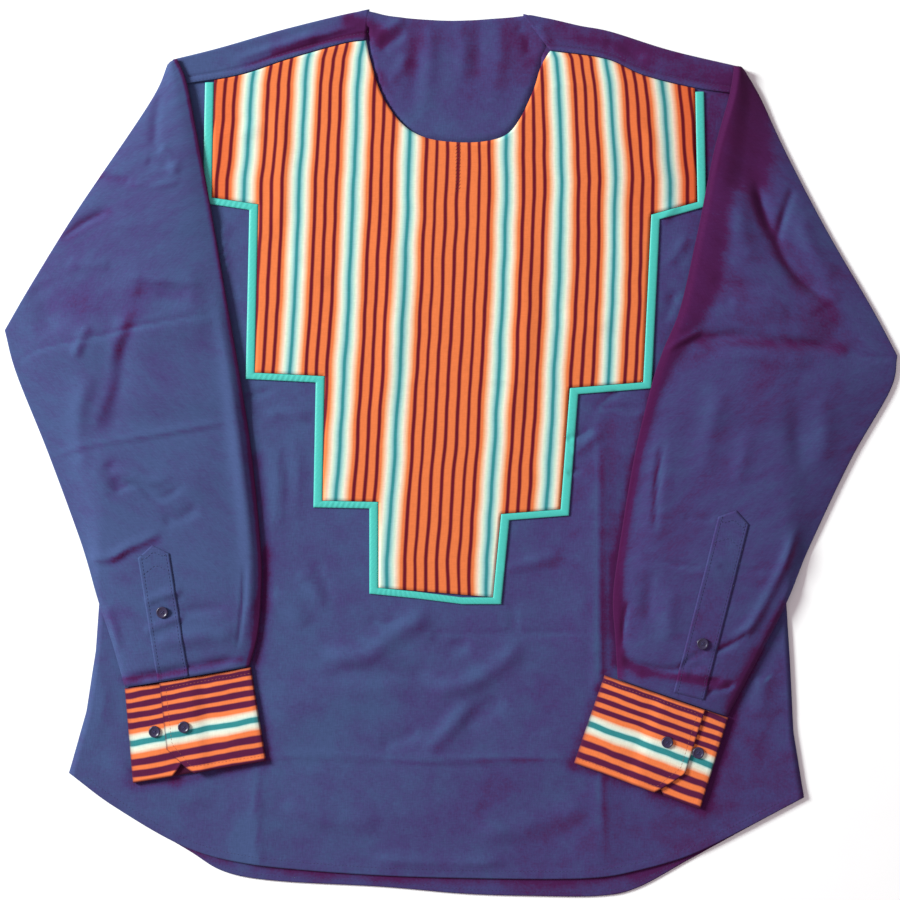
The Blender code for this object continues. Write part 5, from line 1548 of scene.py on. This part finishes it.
def make_placket(side):
    """A sleeve placket: a strip with a pointed top and turned edges, sewn on the sleeve's upper layer."""
    plan = RIGHT_PLACKET if side == "right" else LEFT_PLACKET
    grid, k, j, length = placket_grid(plan, 64, 18)
    x, y = grid[..., 0], grid[..., 1]
    rest = height_on(f"sleeve_{side}_cloth", x.reshape(-1), y.reshape(-1)).reshape(x.shape)
    off = np.minimum((1 - np.abs(k)) * PLACKET_WIDTH / 2, j * length)
    rim = 0.1 * ease((3.2 - off) / 1.0) - 0.1 * np.exp(-((off - 3.4) / 0.7) ** 2)
    blocks = Blocks()
    blocks.add(np.dstack([grid, rest + CLOTH / 2 + PLACKET_LIFT + rim]))
    return cloth_piece(f"placket_{side}_cloth", blocks, 0.6, navy_material(), "navy_cloth", f"placket_{side}")


def button_mesh(name):
    """A turned button: raised rim, dished middle and four holes."""
    profile = (
        (0.0, 0.0), (0.78, 0.0), (0.93, 0.12), (1.0, 0.35), (1.0, 0.62), (0.97, 0.84), (0.90, 0.97),
        (0.83, 1.0), (0.75, 0.95), (0.68, 0.82), (0.60, 0.74), (0.30, 0.72), (0.0, 0.72),
    )  # fmt: skip
    bm = bmesh.new()
    chain = [bm.verts.new((r * BUTTON_RADIUS * MM, 0.0, z * BUTTON_HEIGHT * MM)) for r, z in profile]
    edges = [bm.edges.new(pair) for pair in zip(chain, chain[1:])]
    bmesh.ops.spin(bm, geom=chain + edges, cent=(0, 0, 0), axis=(0, 0, 1), angle=2 * math.pi,
                   steps=40, use_merge=True, use_normal_flip=False)  # fmt: skip
    bmesh.ops.remove_doubles(bm, verts=bm.verts, dist=1e-6)
    bmesh.ops.recalc_face_normals(bm, faces=bm.faces)
    mesh = bpy.data.meshes.new(name)
    bm.to_mesh(mesh)
    bm.free()
    body = bpy.data.objects.new(name, mesh)
    bpy.context.scene.collection.objects.link(body)
    drill = bmesh.new()
    for x, y in ((-1, -1), (1, -1), (-1, 1), (1, 1)):
        made = bmesh.ops.create_cone(drill, cap_ends=True, segments=12, radius1=0.55 * MM, radius2=0.55 * MM,
                                     depth=6 * MM)  # fmt: skip
        bmesh.ops.translate(drill, verts=made["verts"], vec=(x * MM, y * MM, 1.1 * MM))
    holes_mesh = bpy.data.meshes.new(name + " holes")
    drill.to_mesh(holes_mesh)
    drill.free()
    holes = bpy.data.objects.new(name + " holes", holes_mesh)
    bpy.context.scene.collection.objects.link(holes)
    cut = body.modifiers.new("Holes", "BOOLEAN")
    cut.object = holes
    cut.operation = "DIFFERENCE"
    cut.solver = "EXACT"
    graph = bpy.context.evaluated_depsgraph_get()
    done = bpy.data.meshes.new_from_object(body.evaluated_get(graph))
    bpy.data.objects.remove(body, do_unlink=True)
    bpy.data.objects.remove(holes, do_unlink=True)
    done.shade_smooth()
    done.set_sharp_from_angle(angle=math.radians(40))
    return done


def make_button(name, plain, low, high):
    """A button in the place of its solid, standing on its cloth, and the thread that crosses its holes."""
    colours = bpy.context.scene.shirt_colours
    mesh = plain.copy()
    mesh.name = name
    x, y = (low[0] + high[0]) / 2, (low[1] + high[1]) / 2
    side, under = name.split("_")[-1], "placket" if name.startswith("placket") else "cuff"
    base = (float(height_on(f"{under}_{side}_cloth", x / MM, y / MM)[0]) + 0.6) * MM
    for vertex in mesh.vertices:
        vertex.co += Vector((x, y, base))
    material = plain_material("Dark button", tuple(colours.button), 0.32, 900.0, 0.15,
                              sheen=0.0, specular=0.5)  # fmt: skip
    put(name + "_turned", mesh, material, "button", name)
    top = base / MM + 0.72 * BUTTON_HEIGHT + 0.12
    cx, cy = x / MM, y / MM
    lines = [[(cx - 1, cy - 1, top), (cx + 1, cy + 1, top)], [(cx - 1, cy + 1, top), (cx + 1, cy - 1, top)]]
    thread = thread_material("Navy thread", tuple(colours.thread))
    stitches(name + "_thread", lines, thread, "button", pitch=0.0009, length=0.0014, width=0.0006)


class ShirtCloth(bpy.types.PropertyGroup):
    """Sizes of the cloth."""

    crease_strength: FloatProperty(
        name="Crease strength", description="How deep the hand-placed creases are", default=1.0,
        min=0.0, max=3.0)
    floor_size: FloatProperty(
        name="Floor size", description="Side of the floor that the shirt lies on", default=6.0, min=1.0,
        unit="LENGTH")
    camera_height: FloatProperty(
        name="Camera height", description="Height of the camera above the floor", default=1.505, min=0.5,
        unit="LENGTH")


class ShirtSewing(bpy.types.PropertyGroup):
    """Sizes of the stitches."""

    stitch_pitch: FloatProperty(
        name="Stitch pitch", description="Distance from one stitch to the next", default=0.0031, min=0.001,
        unit="LENGTH")
    stitch_length: FloatProperty(
        name="Stitch length", description="Length of a stitch that shows", default=0.0024, min=0.0005,
        unit="LENGTH")
    thread_width: FloatProperty(
        name="Thread width", description="Width of the sewing thread", default=0.00035, min=0.0001,
        unit="LENGTH")


def colour_property(name, description, default):
    return FloatVectorProperty(name=name, description=description, subtype="COLOR", size=3, min=0.0, max=1.0,
                               default=default)  # fmt: skip


class ShirtColours(bpy.types.PropertyGroup):
    """Colours, in linear light."""

    navy: colour_property("Navy", "The navy cloth where it is lit", (0.045, 0.068, 0.170))
    # Painted shade: the next two are the navy cloth's colour painted for soft shade and for deep shade in
    # folds
    navy_painted_shade: colour_property("Navy violet", "The navy cloth in soft shade", (0.048, 0.037, 0.135))
    navy_painted_deep_shade: colour_property("Navy deep", "The navy cloth in deep folds", (0.057, 0.008, 0.064))
    orange: colour_property("Orange", "Orange of the stripes", (0.675, 0.160, 0.049))
    cream: colour_property("Cream", "Cream of the stripes", (0.70, 0.67, 0.54))
    teal: colour_property("Teal", "Teal line in the stripes", (0.028, 0.215, 0.23))
    dark: colour_property("Dark", "Dark lines in the stripes", (0.118, 0.0045, 0.015))
    cuff_dark: colour_property("Cuff dark", "Dark bands of the cuffs", (0.088, 0.009, 0.044))
    turquoise: colour_property("Turquoise", "The piping", (0.055, 0.54, 0.47))
    thread: colour_property("Thread", "Sewing thread of the navy cloth", (0.040, 0.036, 0.12))
    button: colour_property("Button", "The buttons", (0.030, 0.022, 0.065))
    floor: colour_property("Floor", "The floor under the shirt", (0.93, 0.93, 0.93))


class SHIRT_OT_stage(bpy.types.Operator):
    """Adds the pale floor, the soft light and the camera straight above"""

    bl_idname = "shirt.stage"
    bl_label = "Floor, Light and Camera"

    def execute(self, context):
        scene, cloth = context.scene, context.scene.shirt_cloth
        half = cloth.floor_size / 2
        mesh = bpy.data.meshes.new("floor")
        mesh.from_pydata([(-half, -half, -0.0004), (half, -half, -0.0004), (half, half, -0.0004),
                          (-half, half, -0.0004)], [], [(0, 1, 2, 3)])  # fmt: skip
        floor = bpy.data.objects.new("floor", mesh)
        scene.collection.objects.link(floor)
        mesh.materials.append(plain_material("Pale floor", tuple(scene.shirt_colours.floor), 0.9, 30.0, 0.02,
                                             variation=0.02, sheen=0.0, specular=0.1))  # fmt: skip
        camera_data = bpy.data.cameras.new("camera")
        camera_data.lens = 70.0
        camera = bpy.data.objects.new("camera", camera_data)
        camera.location = (-0.0009, 0.0022, cloth.camera_height)
        scene.collection.objects.link(camera)
        scene.camera = camera
        light = bpy.data.lights.new("window", "AREA")
        light.size = 1.15
        light.energy = 300.0
        light.color = (0.95, 1.03, 1.0)
        lamp = bpy.data.objects.new("window", light)
        lamp.location = (-3.3, 1.4, 1.95)
        lamp.rotation_euler = (-lamp.location).to_track_quat("-Z", "Y").to_euler()
        scene.collection.objects.link(lamp)
        world = bpy.data.worlds.new("Soft room")
        world.use_nodes = True
        world.node_tree.nodes["Background"].inputs[0].default_value = (1.08, 0.93, 0.99, 1.0)
        world.node_tree.nodes["Background"].inputs[1].default_value = 0.45
        scene.world = world
        scene.view_settings.view_transform = "Standard"
        scene.view_settings.look = "None"
        return {"FINISHED"}


class SHIRT_OT_body(bpy.types.Operator):
    """Lays the back on the floor, the front on the back and the yoke over both shoulders"""

    bl_idname = "shirt.body"
    bl_label = "Back, Front and Yoke"

    def execute(self, context):
        back, front, yoke = make_back(), make_front(), make_yoke()
        return {"FINISHED"}


class SHIRT_OT_bib(bpy.types.Operator):
    """Sews the stepped striped bib on the front, with its piping"""

    bl_idname = "shirt.bib"
    bl_label = "Bib and Piping"

    def execute(self, context):
        bib, piping = make_bib(), make_piping()
        return {"FINISHED"}


class SHIRT_OT_sleeves(bpy.types.Operator):
    """Folds both sleeves down over the front, with their plackets"""

    bl_idname = "shirt.sleeves"
    bl_label = "Sleeves and Plackets"

    def execute(self, context):
        for side in ("right", "left"):
            sleeve = make_sleeve(side)
            placket = make_placket(side)
        return {"FINISHED"}


class SHIRT_OT_cuffs(bpy.types.Operator):
    """Wraps the striped cuffs round the sleeve ends"""

    bl_idname = "shirt.cuffs"
    bl_label = "Cuffs"

    def execute(self, context):
        for side in ("right", "left"):
            make_cuff(side)
        return {"FINISHED"}


class SHIRT_OT_buttons(bpy.types.Operator):
    """Sews on the buttons of the cuffs and plackets"""

    bl_idname = "shirt.buttons"
    bl_label = "Buttons"

    def execute(self, context):
        plain = button_mesh("turned button")
        for name in sorted(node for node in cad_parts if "button" in node):
            make_button(name, plain, *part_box(name))
        return {"FINISHED"}


class SHIRT_OT_topstitching(bpy.types.Operator):
    """Stitches the seams, hems, plackets and cuff edges"""

    bl_idname = "shirt.topstitching"
    bl_label = "Topstitching"

    def execute(self, context):
        colours = context.scene.shirt_colours
        thread = thread_material("Navy thread", tuple(colours.thread))
        lift = 0.5
        hem = smooth_path(FRONT_HEM)[4:-4]
        lines = [on_piece("front_cloth", beside(hem, HEM_DEPTH - 1.0), lift)]
        back_hem = smooth_path(BACK_HEM)[30:-20]
        lines.append(on_piece("back_cloth", beside(back_hem, 4.0), lift))
        for seam in (RIGHT_YOKE_SEAM, LEFT_YOKE_SEAM):
            lines.append(on_piece("yoke_cloth", beside(smooth_path(seam), 5.6)[2:-2], lift))
            lines.append(on_piece("yoke_cloth", beside(smooth_path(seam), 1.4)[2:-2], lift))
        stitches("body_stitches", lines, thread, "navy_cloth")
        soft = thread_material("Placket thread", tuple(mix(colours.navy, colours.navy_painted_shade, 0.5)), 0.7)
        for side, plan in (("right", RIGHT_PLACKET), ("left", LEFT_PLACKET)):
            grid = placket_grid(plan, 40, 18)[0]
            name = f"placket_{side}_cloth"
            lines = [on_piece(name, np.vstack([grid[:, 2][::-1], grid[2, 3:16], grid[:, 16]]), lift + 0.05)]
            lines.append(on_piece(name, grid[6, 2:17], lift + 0.05))
            stitches(f"placket_{side}_stitches", lines, soft, "navy_cloth", width=0.0003)
        pale = thread_material("Cuff thread", (0.34, 0.09, 0.05))
        for side, plan in (("right", RIGHT_CUFF), ("left", LEFT_CUFF)):
            width = math.dist(plan.outer_top, plan.inner_top)
            name = f"cuff_{side}_cloth"
            tip = plan.flap_reach + 5
            path = [cuff_spot(plan, width - 2, 0.06), cuff_spot(plan, tip, 0.06), cuff_spot(plan, tip, 0.66),
                    cuff_spot(plan, tip + 14, 0.93),
                    cuff_spot(plan, width - 2, 0.94)]  # fmt: skip
            stitches(f"cuff_{side}_stitches", [on_piece(name, np.array(path), 0.7)], pale, "striped_cloth")
        neck_hatch = []
        for y in np.arange(263, 222, -3.0):
            neck_hatch.append(on_piece("bib_cloth", [(4.6, y), (7.2, y + 2.4)], 0.55))
        brown = thread_material("Brown thread", (0.16, 0.030, 0.022))
        stitches("neck_stitches", neck_hatch, brown, "striped_cloth", pitch=0.0036, length=0.003)
        return {"FINISHED"}


class SHIRT_PT_panel(bpy.types.Panel):
    """Lists the shirt's pieces, sizes and colours"""

    bl_idname = "SHIRT_PT_panel"
    bl_label = "Laid Shirt"
    bl_space_type = "VIEW_3D"
    bl_region_type = "UI"
    bl_category = "Shirt"

    def draw(self, context):
        scene = context.scene
        for operator in OPERATORS:
            self.layout.operator(operator.bl_idname)
        for group in (scene.shirt_cloth, scene.shirt_sewing, scene.shirt_colours):
            box = self.layout.box()
            for key in group.__annotations__:
                box.prop(group, key)


OPERATORS = (
    SHIRT_OT_stage, SHIRT_OT_body, SHIRT_OT_bib, SHIRT_OT_sleeves, SHIRT_OT_cuffs, SHIRT_OT_buttons,
    SHIRT_OT_topstitching,
)  # fmt: skip
CLASSES = (ShirtCloth, ShirtSewing, ShirtColours, *OPERATORS, SHIRT_PT_panel)


def register():
    for cls in CLASSES:
        bpy.utils.register_class(cls)
    bpy.types.Scene.shirt_cloth = PointerProperty(type=ShirtCloth)
    bpy.types.Scene.shirt_sewing = PointerProperty(type=ShirtSewing)
    bpy.types.Scene.shirt_colours = PointerProperty(type=ShirtColours)


def unregister():
    del bpy.types.Scene.shirt_colours
    del bpy.types.Scene.shirt_sewing
    del bpy.types.Scene.shirt_cloth
    for cls in reversed(CLASSES):
        bpy.utils.unregister_class(cls)


def main():
    register()
    bpy.ops.shirt.stage()
    bpy.ops.shirt.body()
    bpy.ops.shirt.bib()
    bpy.ops.shirt.sleeves()
    bpy.ops.shirt.cuffs()
    bpy.ops.shirt.buttons()
    bpy.ops.shirt.topstitching()
    bpy.context.view_layer.update()


if __name__ == "__main__":
    main()
